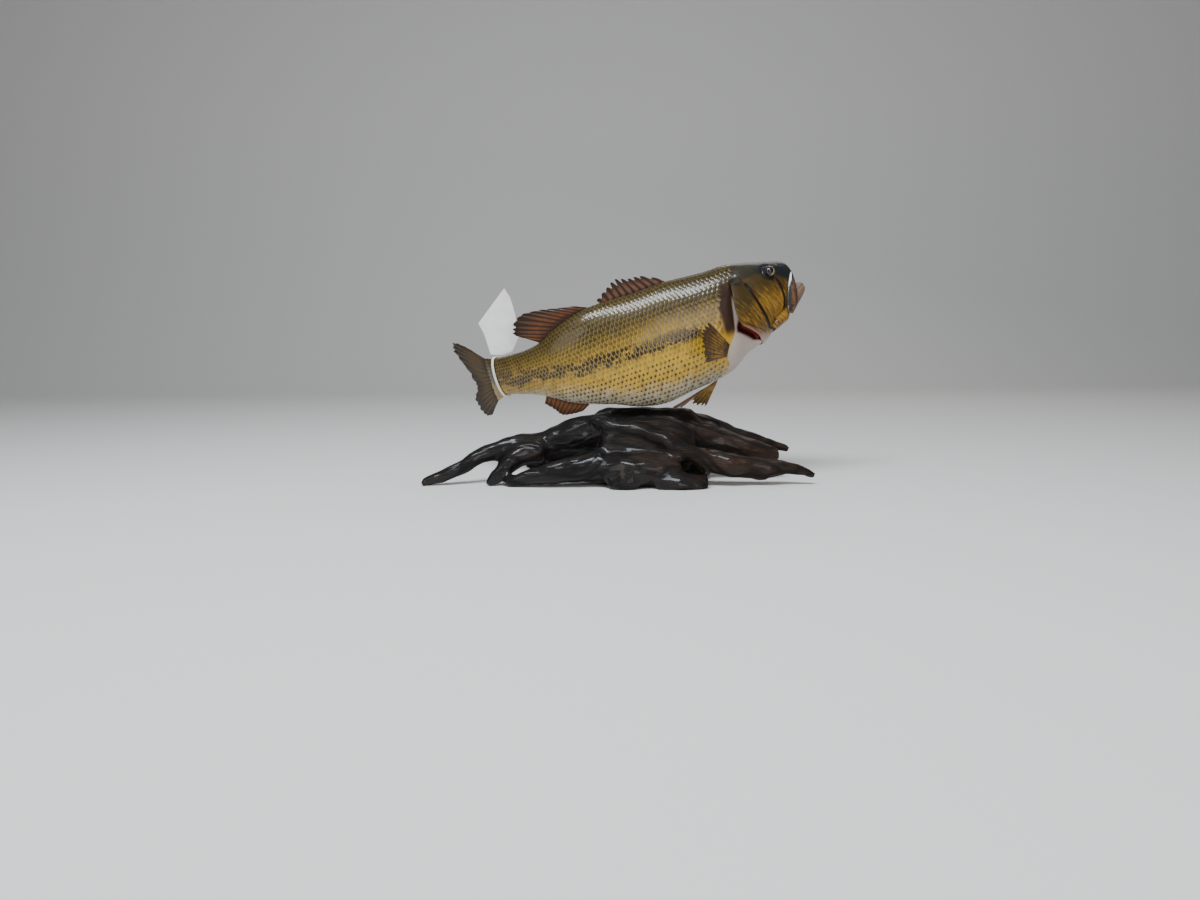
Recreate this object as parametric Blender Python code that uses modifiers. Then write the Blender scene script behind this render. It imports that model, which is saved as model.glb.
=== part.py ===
"""A largemouth bass, mounted in a swimming curve on a piece of driftwood, with a tag round its tail.

The fish is described straight, in millimetres: u runs from tail to snout, v to its left, w up, and
the origin is inside the trunk. bent() lays that straight fish along its curve and tips its nose up.
"""
import math

import bmesh
import bpy
import numpy as np
from mathutils import Vector

MM = 0.001
GAP = 0.35                  # between pieces that meet

# The pose: the tail swings to the fish's left, the head turns the same way, and the nose is up.
NOSE_UP = math.radians(17.0)
TAIL_TURN = math.radians(53.0)
TAIL_BEND = (-20.0, -210.0)
HEAD_TURN = math.radians(24.0)
HEAD_BEND = (70.0, 175.0)
FISH_AT = (16.0, 0.0, 151.0)
MIDDLE = (-13.9, 21.2)      # of the whole mount, seen from above

# The trunk's and head's outline: u, top, bottom, half width, and how square the sides are.
OUTLINE = [
    (-197.0, 46.0, -9.0, 4.2, 0.80),
    (-188.0, 43.5, -6.5, 7.8, 0.80),
    (-171.0, 42.0, -6.0, 10.6, 0.82),
    (-150.0, 41.0, -10.5, 12.3, 0.84),
    (-131.0, 40.8, -16.0, 14.0, 0.84),
    (-110.0, 44.0, -26.5, 16.8, 0.85),
    (-90.0, 53.0, -37.5, 20.0, 0.85),
    (-70.0, 60.0, -44.5, 23.0, 0.85),
    (-45.0, 65.0, -52.5, 27.0, 0.84),
    (-20.0, 65.8, -63.0, 30.5, 0.82),
    (10.0, 65.0, -68.0, 33.0, 0.80),
    (45.0, 66.5, -63.5, 34.0, 0.80),
    (75.0, 64.5, -60.0, 33.5, 0.80),
    (95.0, 63.5, -55.0, 32.5, 0.80),
    (112.0, 64.0, -44.0, 31.0, 0.80),
    (125.0, 63.0, -38.5, 31.5, 0.78),
    (140.0, 60.0, -33.5, 30.5, 0.76),
    (152.0, 57.4, -26.0, 27.5, 0.76),
    (165.0, 54.6, -21.5, 24.0, 0.76),
    (180.0, 51.5, -15.0, 19.0, 0.76),
    (190.0, 48.0, -8.0, 14.0, 0.76),
]
SNOUT = [
    (191.5, 46.6, 14.0, 13.0, 0.72),
    (194.5, 41.5, 16.2, 11.4, 0.72),
    (196.6, 33.5, 17.8, 9.2, 0.74),
    (198.2, 26.0, 19.2, 6.0, 0.80),
]
GAPE = [(150.0, -13.0), (160.0, -9.0), (170.0, -3.0), (180.0, 5.0), (190.0, 13.0), (198.2, 19.4)]
JAW = [
    (150.6, -13.6, -26.2, 24.5, 0.62),
    (160.0, -9.6, -23.0, 22.4, 0.62),
    (170.0, -3.6, -19.8, 19.6, 0.62),
    (180.0, 4.4, -15.0, 16.8, 0.64),
    (190.0, 12.4, -8.2, 13.6, 0.66),
    (200.0, 18.6, -1.5, 10.8, 0.70),
    (207.0, 19.4, 4.0, 8.0, 0.75),
    (211.0, 15.5, 8.5, 4.4, 0.80),
]
SPLITS = {"tail_stock": (-197.0, -105.0), "trunk": (-105.0, 112.0)}
CHEEK_EDGE = 132.0          # where the cheek ends and the gill chamber starts
THROAT_WIDTH = 25.0         # half the width between the gill chambers
CHEEK_SLANT = -0.20         # how far the edge leans forward below CHEEK_LEVEL, and back above it
CHEEK_LEVEL = 8.0
WIDEST_BELOW = 0.03         # the widest place is this share of the depth below the middle

# Gill cover: front edge on the cheek, rear edge standing off the shoulder, each from top to bottom.
COVER_FRONT = [(124.2, -28.0, 36.0), (127.2, -33.0, 22.0), (130.4, -34.5, 7.0), (133.4, -32.6, -8.0),
               (136.6, -24.5, -22.5)]
COVER_REAR = [(111.0, -32.5, 44.0), (107.5, -43.5, 30.0), (105.0, -49.0, 13.0), (107.0, -48.0, -5.0),
              (119.0, -33.0, -27.0)]
COVER_THICK = 2.2
COVER_SWELL = 2.0
GILL_FRONT = [(126.0, -28.4, 8.0), (127.0, -28.2, -6.0), (131.0, -22.6, -20.0)]
GILL_REAR = [(114.6, -35.0, 12.0), (114.8, -35.0, -8.0), (121.0, -27.5, -27.5)]
GILL_THICK = 2.6
MAXILLA_LINE = [(186.5, 29.0, 3.2), (183.0, 20.0, 5.0), (179.0, 9.0, 6.4), (175.0, -2.0, 7.2),
                (171.5, -10.0, 5.0)]
EYE_AT = (156.6, -23.4, 40.5)
EYE_RADIUS = 6.4
MAXILLA_OFF = 2.4           # from the middle of the cheek's side to the middle of the plate
MAXILLA_CURL = 0.8
MAXILLA_THICK = 2.0
MAXILLA_LEAN = 0.35

# Fins: base and tip lines, front to back, in the straight fish. Those on the back and belly start
# from the outline, between the two u given.
TOP, BOTTOM = 1, 2          # columns of OUTLINE
SPINY_FIN = {
    "edge": (TOP, 48.0, -30.0),
    "tip": [(40.0, 0.0, 73.5), (20.0, 0.0, 81.5), (6.0, 0.0, 83.0), (-8.0, 0.0, 86.5), (-20.0, 0.0, 77.0),
            (-33.0, 0.0, 69.0)],
}
SOFT_FIN = {
    "edge": (TOP, -45.0, -112.0),
    "tip": [(-58.0, 0.0, 70.5), (-82.0, 0.0, 75.5), (-104.0, 0.0, 80.0), (-127.0, 0.0, 81.0),
            (-139.0, 0.0, 70.0), (-141.0, 0.0, 61.0), (-127.0, 0.0, 53.0)],
}
ANAL_FIN = {
    "edge": (BOTTOM, -76.0, -124.0),
    "tip": [(-86.0, 0.0, -48.0), (-101.0, 0.0, -48.0), (-113.0, 0.0, -44.5), (-120.0, 0.0, -36.0),
            (-129.0, 0.0, -27.0)],
}
TAIL_FIN = {
    "base": [(-198.5, 0.0, 44.5), (-200.0, 0.0, 18.0), (-198.5, 0.0, -7.5)],
    "tip": [(-230.0, 0.0, 63.5), (-263.0, 0.0, 78.0), (-275.0, 0.0, 72.0), (-262.0, 0.0, 52.0),
            (-246.0, 0.0, 25.0), (-244.0, 0.0, 12.0), (-256.0, 0.0, 0.0), (-252.0, 0.0, -13.0),
            (-243.0, 0.0, -24.0), (-226.0, 0.0, -24.0)],
}
PECTORAL_FIN = {
    "base": [(92.5, -34.6, -22.0), (89.0, -34.0, -29.0), (86.0, -32.4, -35.0)],
    "tip": [(75.5, -64.0, 10.0), (67.0, -71.0, 5.0), (62.5, -74.0, -3.0), (61.0, -72.0, -14.0),
            (60.5, -61.0, -33.0)],
}
PELVIC_FIN = {
    "base": [(78.0, -13.0, -58.6), (73.0, -11.0, -60.8), (68.0, -9.0, -62.4)],
    "tip": [(54.0, -22.0, -88.0), (45.0, -19.0, -85.0), (38.0, -15.0, -78.0), (42.0, -12.0, -70.0)],
}
FOLDED_PELVIC = {
    "base": [(58.0, -9.0, -63.4), (54.0, -8.5, -64.2), (50.0, -8.0, -65.0)],
    "tip": [(24.0, -16.0, -76.0), (17.0, -14.5, -75.0), (14.0, -12.0, -73.5)],
}
FIN_THICK = 1.0
FIN_CLEAR = 0.7             # between a fin's root and the body
RAY_WAVE = 0.45             # how far rays and webbing stand to each side

# Driftwood: each limb is a run of x, y, z and radius, on a surface at z = 0.
LIMBS = {
    "left_arm": [(-237, -32, 2, 6), (-212, -28, 11, 8), (-186, -22, 22, 9), (-160, -14, 35, 11),
                 (-128, -8, 42, 14), (-95, -4, 44, 17), (-55, -4, 54, 22), (-20, 0, 56, 26)],
    "left_foot": [(-163, -38, 1, 5), (-148, -33, 12, 9), (-128, -22, 30, 13), (-100, -12, 38, 18)],
    "left_skirt": [(-140, -44, 5, 6), (-105, -46, 13, 10), (-70, -44, 18, 15), (-30, -40, 24, 20)],
    "middle": [(-30, -14, 34, 30), (5, -12, 38, 36), (40, -10, 40, 36), (72, -6, 36, 28)],
    "crown": [(-36, 14, 66, 15), (-8, 12, 69, 15), (26, 10, 69, 16), (60, 14, 69, 15), (78, 22, 72, 11)],
    "front_bulge": [(-24, -46, 20, 17), (0, -52, 18, 20), (26, -50, 18, 19), (55, -44, 20, 18)],
    "knob": [(-22, -63, 4, 7), (-8, -67, 5, 9), (8, -64, 6, 9)],
    "front_foot": [(30, -62, 4, 12), (58, -64, 3, 14), (88, -58, 3, 10)],
    "brow": [(-40, -20, 74, 6), (-18, -30, 66, 8), (24, -42, 58, 9), (56, -46, 42, 10), (88, -46, 30, 10)],
    "right_prong": [(78, -42, 30, 14), (112, -44, 24, 15), (146, -43, 19, 13), (176, -42, 19, 10),
                    (198, -42, 14, 7), (211, -42, 8, 5)],
    "web": [(60, 6, 46, 24), (96, 8, 44, 20), (130, 6, 36, 17), (158, 4, 30, 12), (178, 4, 27, 8)],
    "upper_prong": [(66, 20, 66, 15), (96, 28, 60, 12), (126, 34, 49, 11), (158, 36, 38, 10),
                    (182, 35, 33, 7), (196, 35, 29, 5)],
    "back_wall": [(-122, 8, 28, 15), (-84, 12, 32, 22), (-40, 16, 42, 28)],
    "back_base": [(-100, 6, 10, 14), (-60, 14, 16, 18), (0, 20, 20, 22), (60, 18, 20, 22), (98, 2, 16, 15)],
    "back_root": [(-30, 20, 44, 24), (-42, 48, 22, 17), (-50, 66, 4, 10)],
    "right_root": [(55, 14, 40, 24), (76, 42, 20, 16), (88, 60, 3, 10)],
}
LUMP = 3.2                  # how far the wood's surface swells and sinks
GRID = 3.6                  # of the mesh that joins the limbs
WOOD_SHARE = 0.10           # of that mesh's faces that are kept

# Tag: a card whose corners are x, z, standing behind the fin, and a band round the tail stock.
CARD_OUTLINE = [(-163.5, 146.2), (-171.0, 171.0), (-177.5, 183.5), (-145.5, 224.5), (-138.5, 213.5),
                (-133.0, 194.0), (-129.5, 166.0), (-137.5, 149.5), (-150.0, 145.2)]
CARD_AT = 50.0
CARD_THICK = 0.6
BAND_AT = -181.0
BAND_WIDE = 3.6
BAND_THICK = 0.9

SIDES = 22                  # points round a body section
STEP = 9.0                  # between body sections


def curve_at(points, t):
    """The place at t, from 0 to 1, on a smooth curve through points."""
    knots = np.asarray(points, float)
    last = len(knots) - 1
    i = min(int(t * last), last - 1)
    x = t * last - i
    before, after = knots[max(i - 1, 0)], knots[min(i + 2, last)]
    a, b = knots[i], knots[i + 1]
    slope_a, slope_b = (b - before) / 2, (after - a) / 2
    return ((2 * x**3 - 3 * x**2 + 1) * a + (x**3 - 2 * x**2 + x) * slope_a
            + (3 * x**2 - 2 * x**3) * b + (x**3 - x**2) * slope_b)


def table_at(rows, u):
    """The row of a table at u, smoothed between its rows."""
    table = np.asarray(rows, float)
    us = table[:, 0]
    i = int(np.clip(np.searchsorted(us, u) - 1, 0, len(us) - 2))
    a, b = table[i], table[i + 1]
    before, after = table[max(i - 1, 0)], table[min(i + 2, len(us) - 1)]
    run = b[0] - a[0]
    x = float(np.clip((u - a[0]) / run, 0.0, 1.0))
    slope_a = (b - before) / max(b[0] - before[0], 1e-6) * run
    slope_b = (after - a) / max(after[0] - a[0], 1e-6) * run
    return ((2 * x**3 - 3 * x**2 + 1) * a + (x**3 - 2 * x**2 + x) * slope_a
            + (3 * x**2 - 2 * x**3) * b + (x**3 - x**2) * slope_b)


def turn_at(u):
    """The fish's heading at u, in plan."""
    tail = np.clip((TAIL_BEND[0] - u) / (TAIL_BEND[0] - TAIL_BEND[1]), 0.0, 1.0)
    head = np.clip((u - HEAD_BEND[0]) / (HEAD_BEND[1] - HEAD_BEND[0]), 0.0, 1.0)
    return -TAIL_TURN * tail**1.4 + HEAD_TURN * head * head * (3 - 2 * head)


BEND_U = np.arange(-320.0, 260.5, 0.5)
BEND_TURN = turn_at(BEND_U)


def running_sum(values):
    sums = np.concatenate([[0.0], np.cumsum((values[1:] + values[:-1]) * 0.25)])
    return sums - np.interp(0.0, BEND_U, sums)


BEND_X = running_sum(np.cos(BEND_TURN))
BEND_Y = running_sum(np.sin(BEND_TURN))


def bent(point):
    """A point of the straight fish, in the mount, in metres."""
    u, v, w = point
    turn = turn_at(u)
    x = np.interp(u, BEND_U, BEND_X) - v * math.sin(turn)
    y = np.interp(u, BEND_U, BEND_Y) + v * math.cos(turn)
    rise, fore = math.sin(NOSE_UP), math.cos(NOSE_UP)
    return Vector((x * fore - w * rise + FISH_AT[0], y + FISH_AT[1], x * rise + w * fore + FISH_AT[2])) * MM


def mirrored(points):
    return [(u, -v, w) for u, v, w in points]


def material(name, colour, roughness, metallic=0.0):
    made = bpy.data.materials.new(name)
    made.use_nodes = True
    made.diffuse_color = (*colour, 1.0)
    shader = made.node_tree.nodes["Principled BSDF"]
    shader.inputs["Base Color"].default_value = (*colour, 1.0)
    shader.inputs["Roughness"].default_value = roughness
    shader.inputs["Metallic"].default_value = metallic
    return made


def new_collection(name, shown=True):
    made = bpy.data.collections.new(name)
    bpy.context.scene.collection.children.link(made)
    made.hide_render = not shown
    return made


def add_mesh(name, verts, faces, finish, where):
    mesh = bpy.data.meshes.new(name)
    mesh.from_pydata([tuple(v) for v in verts], [], faces)
    mesh.update()
    obj = bpy.data.objects.new(name, mesh)
    if finish:
        mesh.materials.append(finish)
    where.objects.link(obj)
    obj.parent = mount
    return obj


def facing_out(obj):
    work = bmesh.new()
    work.from_mesh(obj.data)
    bmesh.ops.recalc_face_normals(work, faces=work.faces)
    work.to_mesh(obj.data)
    work.free()
    return obj


def loft(name, rings, finish, where):
    """A closed body through rings of points of the straight fish."""
    sides = len(rings[0])
    verts = [bent(point) for ring in rings for point in ring]
    faces = [(k * sides + i, k * sides + (i + 1) % sides, (k + 1) * sides + (i + 1) % sides, (k + 1) * sides + i)
             for k in range(len(rings) - 1) for i in range(sides)]
    for start in (0, (len(rings) - 1) * sides):
        ring = range(start, start + sides)
        verts.append(sum((verts[i] for i in ring), Vector()) / sides)
        faces += [(i, start + (i - start + 1) % sides, len(verts) - 1) for i in ring]
    return facing_out(add_mesh(name, verts, faces, finish, where))


def section(u, top, bottom, half_width, square, grow=0.0, slant=0.0, sides=SIDES):
    """One ring of the body across u. The lower half is a little fuller than the upper."""
    middle = (top + bottom) / 2 - WIDEST_BELOW * (top - bottom)
    ring = []
    for i in range(sides):
        angle = 2 * math.pi * (i + 0.5) / sides
        height = top - middle if math.sin(angle) > 0 else middle - bottom
        w = middle + (height + grow) * math.sin(angle)
        v = (half_width + grow) * math.copysign(abs(math.cos(angle)) ** square, math.cos(angle))
        ring.append((u + slant * (w - CHEEK_LEVEL), v, w))
    return ring


def body_section(u, grow=0.0):
    _, top, bottom, half_width, square = table_at(OUTLINE, u)
    return section(u, top, bottom, half_width, square, grow)


def stations(start, end, step=STEP):
    count = max(2, round((end - start) / step) + 1)
    return np.linspace(start, end, count)


def body_length(name, start, end, finish, where, grow=0.0):
    return loft(name, [body_section(u, grow) for u in stations(start, end)], finish, where)


def head_slant(u):
    """The head's sections lean with the edge of the cheek, and stand upright at both ends."""
    return CHEEK_SLANT * float(np.interp(u, [112.0, CHEEK_EDGE, 150.0], [0.0, 1.0, 0.0]))


def head_rings():
    rings = []
    for u in stations(112.0 + GAP, CHEEK_EDGE - 0.6, 6.5):
        _, top, bottom, _, square = table_at(OUTLINE, u)
        rings.append(section(u, top, bottom, THROAT_WIDTH, square, slant=head_slant(u)))
    for u in stations(CHEEK_EDGE, 149.6, 6.0):
        _, top, bottom, half_width, square = table_at(OUTLINE, u)
        rings.append(section(u, top, bottom, half_width, square, slant=head_slant(u)))
    for u in stations(150.0, 190.0, 6.0):
        _, top, _, half_width, square = table_at(OUTLINE, u)
        lip = table_at(GAPE, u)[1]
        rings.append(section(u, top, lip, half_width, square))
    return rings + [section(*row) for row in SNOUT]


def sheet(name, lines, thickness, finish, where, offset=0.0):
    """An open surface through lines of points of the straight fish, thickened."""
    rows, columns = len(lines), len(lines[0])
    verts = [bent(point) for line in lines for point in line]
    faces = [(r * columns + c, r * columns + c + 1, (r + 1) * columns + c + 1, (r + 1) * columns + c)
             for r in range(rows - 1) for c in range(columns - 1)]
    obj = add_mesh(name, verts, faces, finish, where)
    thick = obj.modifiers.new("thickness", "SOLIDIFY")
    thick.thickness = thickness * MM
    thick.offset = offset
    return obj


def plate(name, front, rear, thickness, finish, where, rows=10, columns=6):
    """A curved plate between two edges, swelling outward between them."""
    lines = []
    for r in range(rows + 1):
        a, b = curve_at(front, r / rows), curve_at(rear, r / rows)
        line = []
        for c in range(columns + 1):
            t = c / columns
            point = a + (b - a) * t
            point[1] += math.copysign(COVER_SWELL * math.sin(math.pi * t), a[1])
            line.append(point)
        lines.append(line)
    return sheet(name, lines, thickness, finish, where)


def body_edge(column, start, end, count=8):
    """A line along the fish's back or belly."""
    return [(u, 0.0, table_at(OUTLINE, u)[column]) for u in np.linspace(start, end, count)]


def fin(name, shape, rays, finish, where, mirror=False, rows=3, notch=0.06):
    """A fin of rays with webbing between, notched at its edge."""
    base = shape["base"] if "base" in shape else body_edge(*shape["edge"])
    tip = shape["tip"]
    if mirror:
        base, tip = mirrored(base), mirrored(tip)
    lines = []
    for i in range(2 * rays + 1):
        t = i / (2 * rays)
        root, end = curve_at(base, t), curve_at(tip, t)
        along = curve_at(base, min(t + 0.01, 1.0)) - curve_at(base, max(t - 0.01, 0.0))
        way = end - root
        across = np.cross(way, along)
        across /= np.linalg.norm(across)
        between = i % 2
        start = FIN_CLEAR / np.linalg.norm(way)
        reach = 1.0 - notch * between
        wave = RAY_WAVE * (1 - 2 * between)
        line = []
        for k in range(rows + 1):
            share = k / rows
            line.append(root + way * (start + (reach - start) * share) + across * wave * share)
        lines.append(line)
    return sheet(name, lines, FIN_THICK, finish, where)


def maxilla(name, side, finish, where):
    lines = []
    steps = 8
    for k in range(steps + 1):
        u, w, half = curve_at(MAXILLA_LINE, k / steps)
        line = []
        for across in (-1.0, -0.4, 0.4, 1.0):
            at = u + across * half
            cheek = table_at(OUTLINE, min(at, 190.0))[3]
            stands = cheek + MAXILLA_OFF - MAXILLA_CURL * abs(across)
            line.append((at, side * stands, w + MAXILLA_LEAN * across * half))
        lines.append(line)
    return sheet(name, lines, MAXILLA_THICK, finish, where)


def eye(name, side, finish, where, radius=EYE_RADIUS):
    ball = bmesh.new()
    bmesh.ops.create_uvsphere(ball, u_segments=14, v_segments=9, radius=radius * MM)
    mesh = bpy.data.meshes.new(name)
    ball.to_mesh(mesh)
    ball.free()
    if finish:
        mesh.materials.append(finish)
    obj = bpy.data.objects.new(name, mesh)
    where.objects.link(obj)
    obj.parent = mount
    u, v, w = EYE_AT
    obj.location = bent((u, side * -v, w))
    return obj


def cut_away(obj, cutter):
    """Takes the cutter's shape out of obj."""
    cutter.display_type = "WIRE"
    cutter.hide_render = True
    cut = obj.modifiers.new(cutter.name, "BOOLEAN")
    cut.operation = "DIFFERENCE"
    cut.solver = "EXACT"
    cut.object = cutter


def band(name, finish, where):
    """A strip round the tail stock, closed on itself."""
    sides = 20
    inner = GAP + 0.15
    outer = inner + BAND_THICK
    rings = []
    front = BAND_AT + BAND_WIDE
    for u, grow in ((BAND_AT, inner), (BAND_AT, outer), (front, outer), (front, inner)):
        _, top, bottom, half_width, square = table_at(OUTLINE, u)
        rings.append(section(u, top, bottom, half_width, square, grow, sides=sides))
    verts = [bent(point) for ring in rings for point in ring]
    faces = [(k * sides + i, k * sides + (i + 1) % sides, (k + 1) % 4 * sides + (i + 1) % sides,
              (k + 1) % 4 * sides + i) for k in range(4) for i in range(sides)]
    return facing_out(add_mesh(name, verts, faces, finish, where))


def card(name, finish, where):
    curve = bpy.data.curves.new(name, "CURVE")
    curve.dimensions = "2D"
    curve.fill_mode = "BOTH"
    curve.extrude = CARD_THICK / 2 * MM
    line = curve.splines.new("POLY")
    line.points.add(len(CARD_OUTLINE) - 1)
    for point, (x, z) in zip(line.points, CARD_OUTLINE):
        point.co = (x * MM, z * MM, 0.0, 1.0)
    line.use_cyclic_u = True
    curve.materials.append(finish)
    obj = bpy.data.objects.new(name, curve)
    where.objects.link(obj)
    obj.parent = mount
    obj.rotation_euler = (math.radians(90.0), 0.0, 0.0)
    obj.location = (0.0, CARD_AT * MM, 0.0)
    return obj


def limb(points, verts, faces, sides=10, steps=5):
    """Adds a closed tapering tube to the lists, through points that also hold its radius."""
    count = (len(points) - 1) * steps + 1
    first = len(verts)
    for k in range(count):
        here = curve_at(points, k / (count - 1))
        ahead = curve_at(points, min((k + 0.5) / (count - 1), 1.0))
        behind = curve_at(points, max((k - 0.5) / (count - 1), 0.0))
        way = Vector(ahead[:3] - behind[:3]).normalized()
        frame = way.to_track_quat("Z", "Y").to_matrix()
        for i in range(sides):
            angle = 2 * math.pi * i / sides
            spoke = frame @ Vector((math.cos(angle), math.sin(angle), 0.0))
            verts.append((Vector(here[:3]) + spoke * here[3]) * MM)
    for k in range(count - 1):
        for i in range(sides):
            a, b = first + k * sides + i, first + k * sides + (i + 1) % sides
            faces.append((a, b, b + sides, a + sides))
    faces.append(tuple(reversed(range(first, first + sides))))
    faces.append(tuple(range(first + (count - 1) * sides, first + count * sides)))


def driftwood(name, finish, where, cutters):
    """Limbs joined into one body, roughened, sawn flat underneath and hollowed where the fish lies."""
    verts, faces = [], []
    for points in LIMBS.values():
        limb(points, verts, faces)
    obj = facing_out(add_mesh(name, verts, faces, finish, where))
    joined = obj.modifiers.new("joined", "REMESH")
    joined.mode = "VOXEL"
    joined.voxel_size = GRID * MM
    smooth = obj.modifiers.new("smooth", "SMOOTH")
    smooth.iterations = 2
    grain = bpy.data.textures.new("wood_lumps", "CLOUDS")
    grain.noise_scale = 0.022
    grain.noise_depth = 3
    lumps = obj.modifiers.new("lumps", "DISPLACE")
    lumps.texture = grain
    lumps.strength = 2 * LUMP * MM
    lumps.mid_level = 0.5
    lighter = obj.modifiers.new("lighter", "DECIMATE")
    lighter.ratio = WOOD_SHARE
    seat = body_length("belly_cutter", -60.0, 112.0, None, cutters, grow=GAP + 0.25)
    bpy.ops.mesh.primitive_cube_add(size=1.0)
    shelf = bpy.context.object
    shelf.name = "shelf_cutter"
    for owner in list(shelf.users_collection):
        owner.objects.unlink(shelf)
    cutters.objects.link(shelf)
    shelf.parent = mount
    shelf.scale = (0.6, 0.4, 0.1)
    shelf.location = (0.0, 0.0, -0.05)
    for cutter in (seat, shelf):
        cut_away(obj, cutter)
    return obj


for old in list(bpy.data.objects):
    bpy.data.objects.remove(old, do_unlink=True)

parts = new_collection("mounted_largemouth_bass")
cutters = new_collection("cutters", shown=False)
mount = bpy.data.objects.new("mount", None)
parts.objects.link(mount)
mount.location = (-MIDDLE[0] * MM, -MIDDLE[1] * MM, 0.0)

olive = material("olive_skin", (0.16, 0.11, 0.035), 0.35)
gold = material("golden_skin", (0.30, 0.20, 0.06), 0.35)
dark_fin = material("brown_fin", (0.11, 0.05, 0.02), 0.40)
warm_fin = material("orange_fin", (0.30, 0.15, 0.05), 0.40)
jaw_skin = material("jaw_skin", (0.42, 0.33, 0.24), 0.35)
horn = material("maxilla_brown", (0.05, 0.03, 0.02), 0.35)
red = material("gill_red", (0.45, 0.03, 0.03), 0.45)
glass = material("glass_eye", (0.03, 0.02, 0.01), 0.08)
bark = material("varnished_driftwood", (0.035, 0.022, 0.016), 0.30)
paper = material("white_card", (0.80, 0.79, 0.74), 0.70)

for part_name, (start, end) in SPLITS.items():
    body_length(part_name, start + GAP / 2, end - GAP / 2, olive, parts)
head = loft("head", head_rings(), gold, parts)
loft("lower_jaw", [section(*row, sides=16) for row in JAW], jaw_skin, parts)
for side, label in ((-1, "right"), (1, "left")):
    flip = mirrored if side > 0 else list
    plate(f"gill_cover_{label}", flip(COVER_FRONT), flip(COVER_REAR), COVER_THICK, gold, parts)
    plate(f"gills_{label}", flip(GILL_FRONT), flip(GILL_REAR), GILL_THICK, red, parts, rows=6, columns=3)
    maxilla(f"maxilla_{label}", side, horn, parts)
    eye(f"eye_{label}", side, glass, parts)
    cut_away(head, eye(f"eye_socket_{label}", side, None, cutters, EYE_RADIUS + GAP + 0.1))
    fin(f"pectoral_fin_{label}", PECTORAL_FIN, 7, dark_fin, parts, mirror=side > 0)
fin("pelvic_fin_right", FOLDED_PELVIC, 4, warm_fin, parts)
fin("pelvic_fin_left", PELVIC_FIN, 5, warm_fin, parts, mirror=True)
fin("spiny_dorsal_fin", SPINY_FIN, 10, dark_fin, parts, notch=0.35)
fin("soft_dorsal_fin", SOFT_FIN, 12, dark_fin, parts)
fin("anal_fin", ANAL_FIN, 8, warm_fin, parts)
fin("caudal_fin", TAIL_FIN, 15, dark_fin, parts, rows=4, notch=0.04)
driftwood("driftwood", bark, parts, cutters)
card("tag_card", paper, parts)
band("tag_band", paper, parts)
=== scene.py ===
import math
import random

import bpy
import numpy as np
from mathutils import Matrix, Vector, noise


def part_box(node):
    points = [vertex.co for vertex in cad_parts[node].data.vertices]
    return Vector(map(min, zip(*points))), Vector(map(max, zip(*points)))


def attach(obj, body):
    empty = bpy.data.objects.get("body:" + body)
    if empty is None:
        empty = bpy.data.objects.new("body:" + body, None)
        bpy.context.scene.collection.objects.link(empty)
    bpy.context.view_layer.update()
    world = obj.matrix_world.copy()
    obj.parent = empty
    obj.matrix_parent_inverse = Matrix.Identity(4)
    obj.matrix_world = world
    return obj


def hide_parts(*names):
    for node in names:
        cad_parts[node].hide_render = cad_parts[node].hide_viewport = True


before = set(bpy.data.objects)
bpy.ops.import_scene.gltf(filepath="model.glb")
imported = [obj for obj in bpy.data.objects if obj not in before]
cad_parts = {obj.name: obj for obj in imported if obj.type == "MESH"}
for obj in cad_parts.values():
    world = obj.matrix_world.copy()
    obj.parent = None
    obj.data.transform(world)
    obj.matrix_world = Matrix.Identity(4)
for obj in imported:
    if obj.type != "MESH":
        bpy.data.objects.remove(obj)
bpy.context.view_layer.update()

MM = 0.001
dice = random.Random(7)


# Driftwood. A weathered root, sanded, stained almost black and varnished, that stands on its own knobs
# and carries the fish on its crown. Its surface runs in long grooves that follow the arch of the root.
WOOD_GRID = 0.0019
WOOD_SMOOTH = 16
# x and z along the root's arch
WOOD_ARCH = [(-225, 4), (-160, 34), (-90, 50), (-20, 66), (60, 62), (120, 42), (200, 18)]
WOOD_BLACK = (0.0040, 0.0026, 0.0022, 1)
WOOD_BROWN = (0.030, 0.014, 0.007, 1)
WOOD_DRY = (0.100, 0.062, 0.038, 1)
# painted shade, for the darkness deep in the grooves
WOOD_GROOVE_SHADE = (0.004, 0.003, 0.003, 1)


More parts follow.
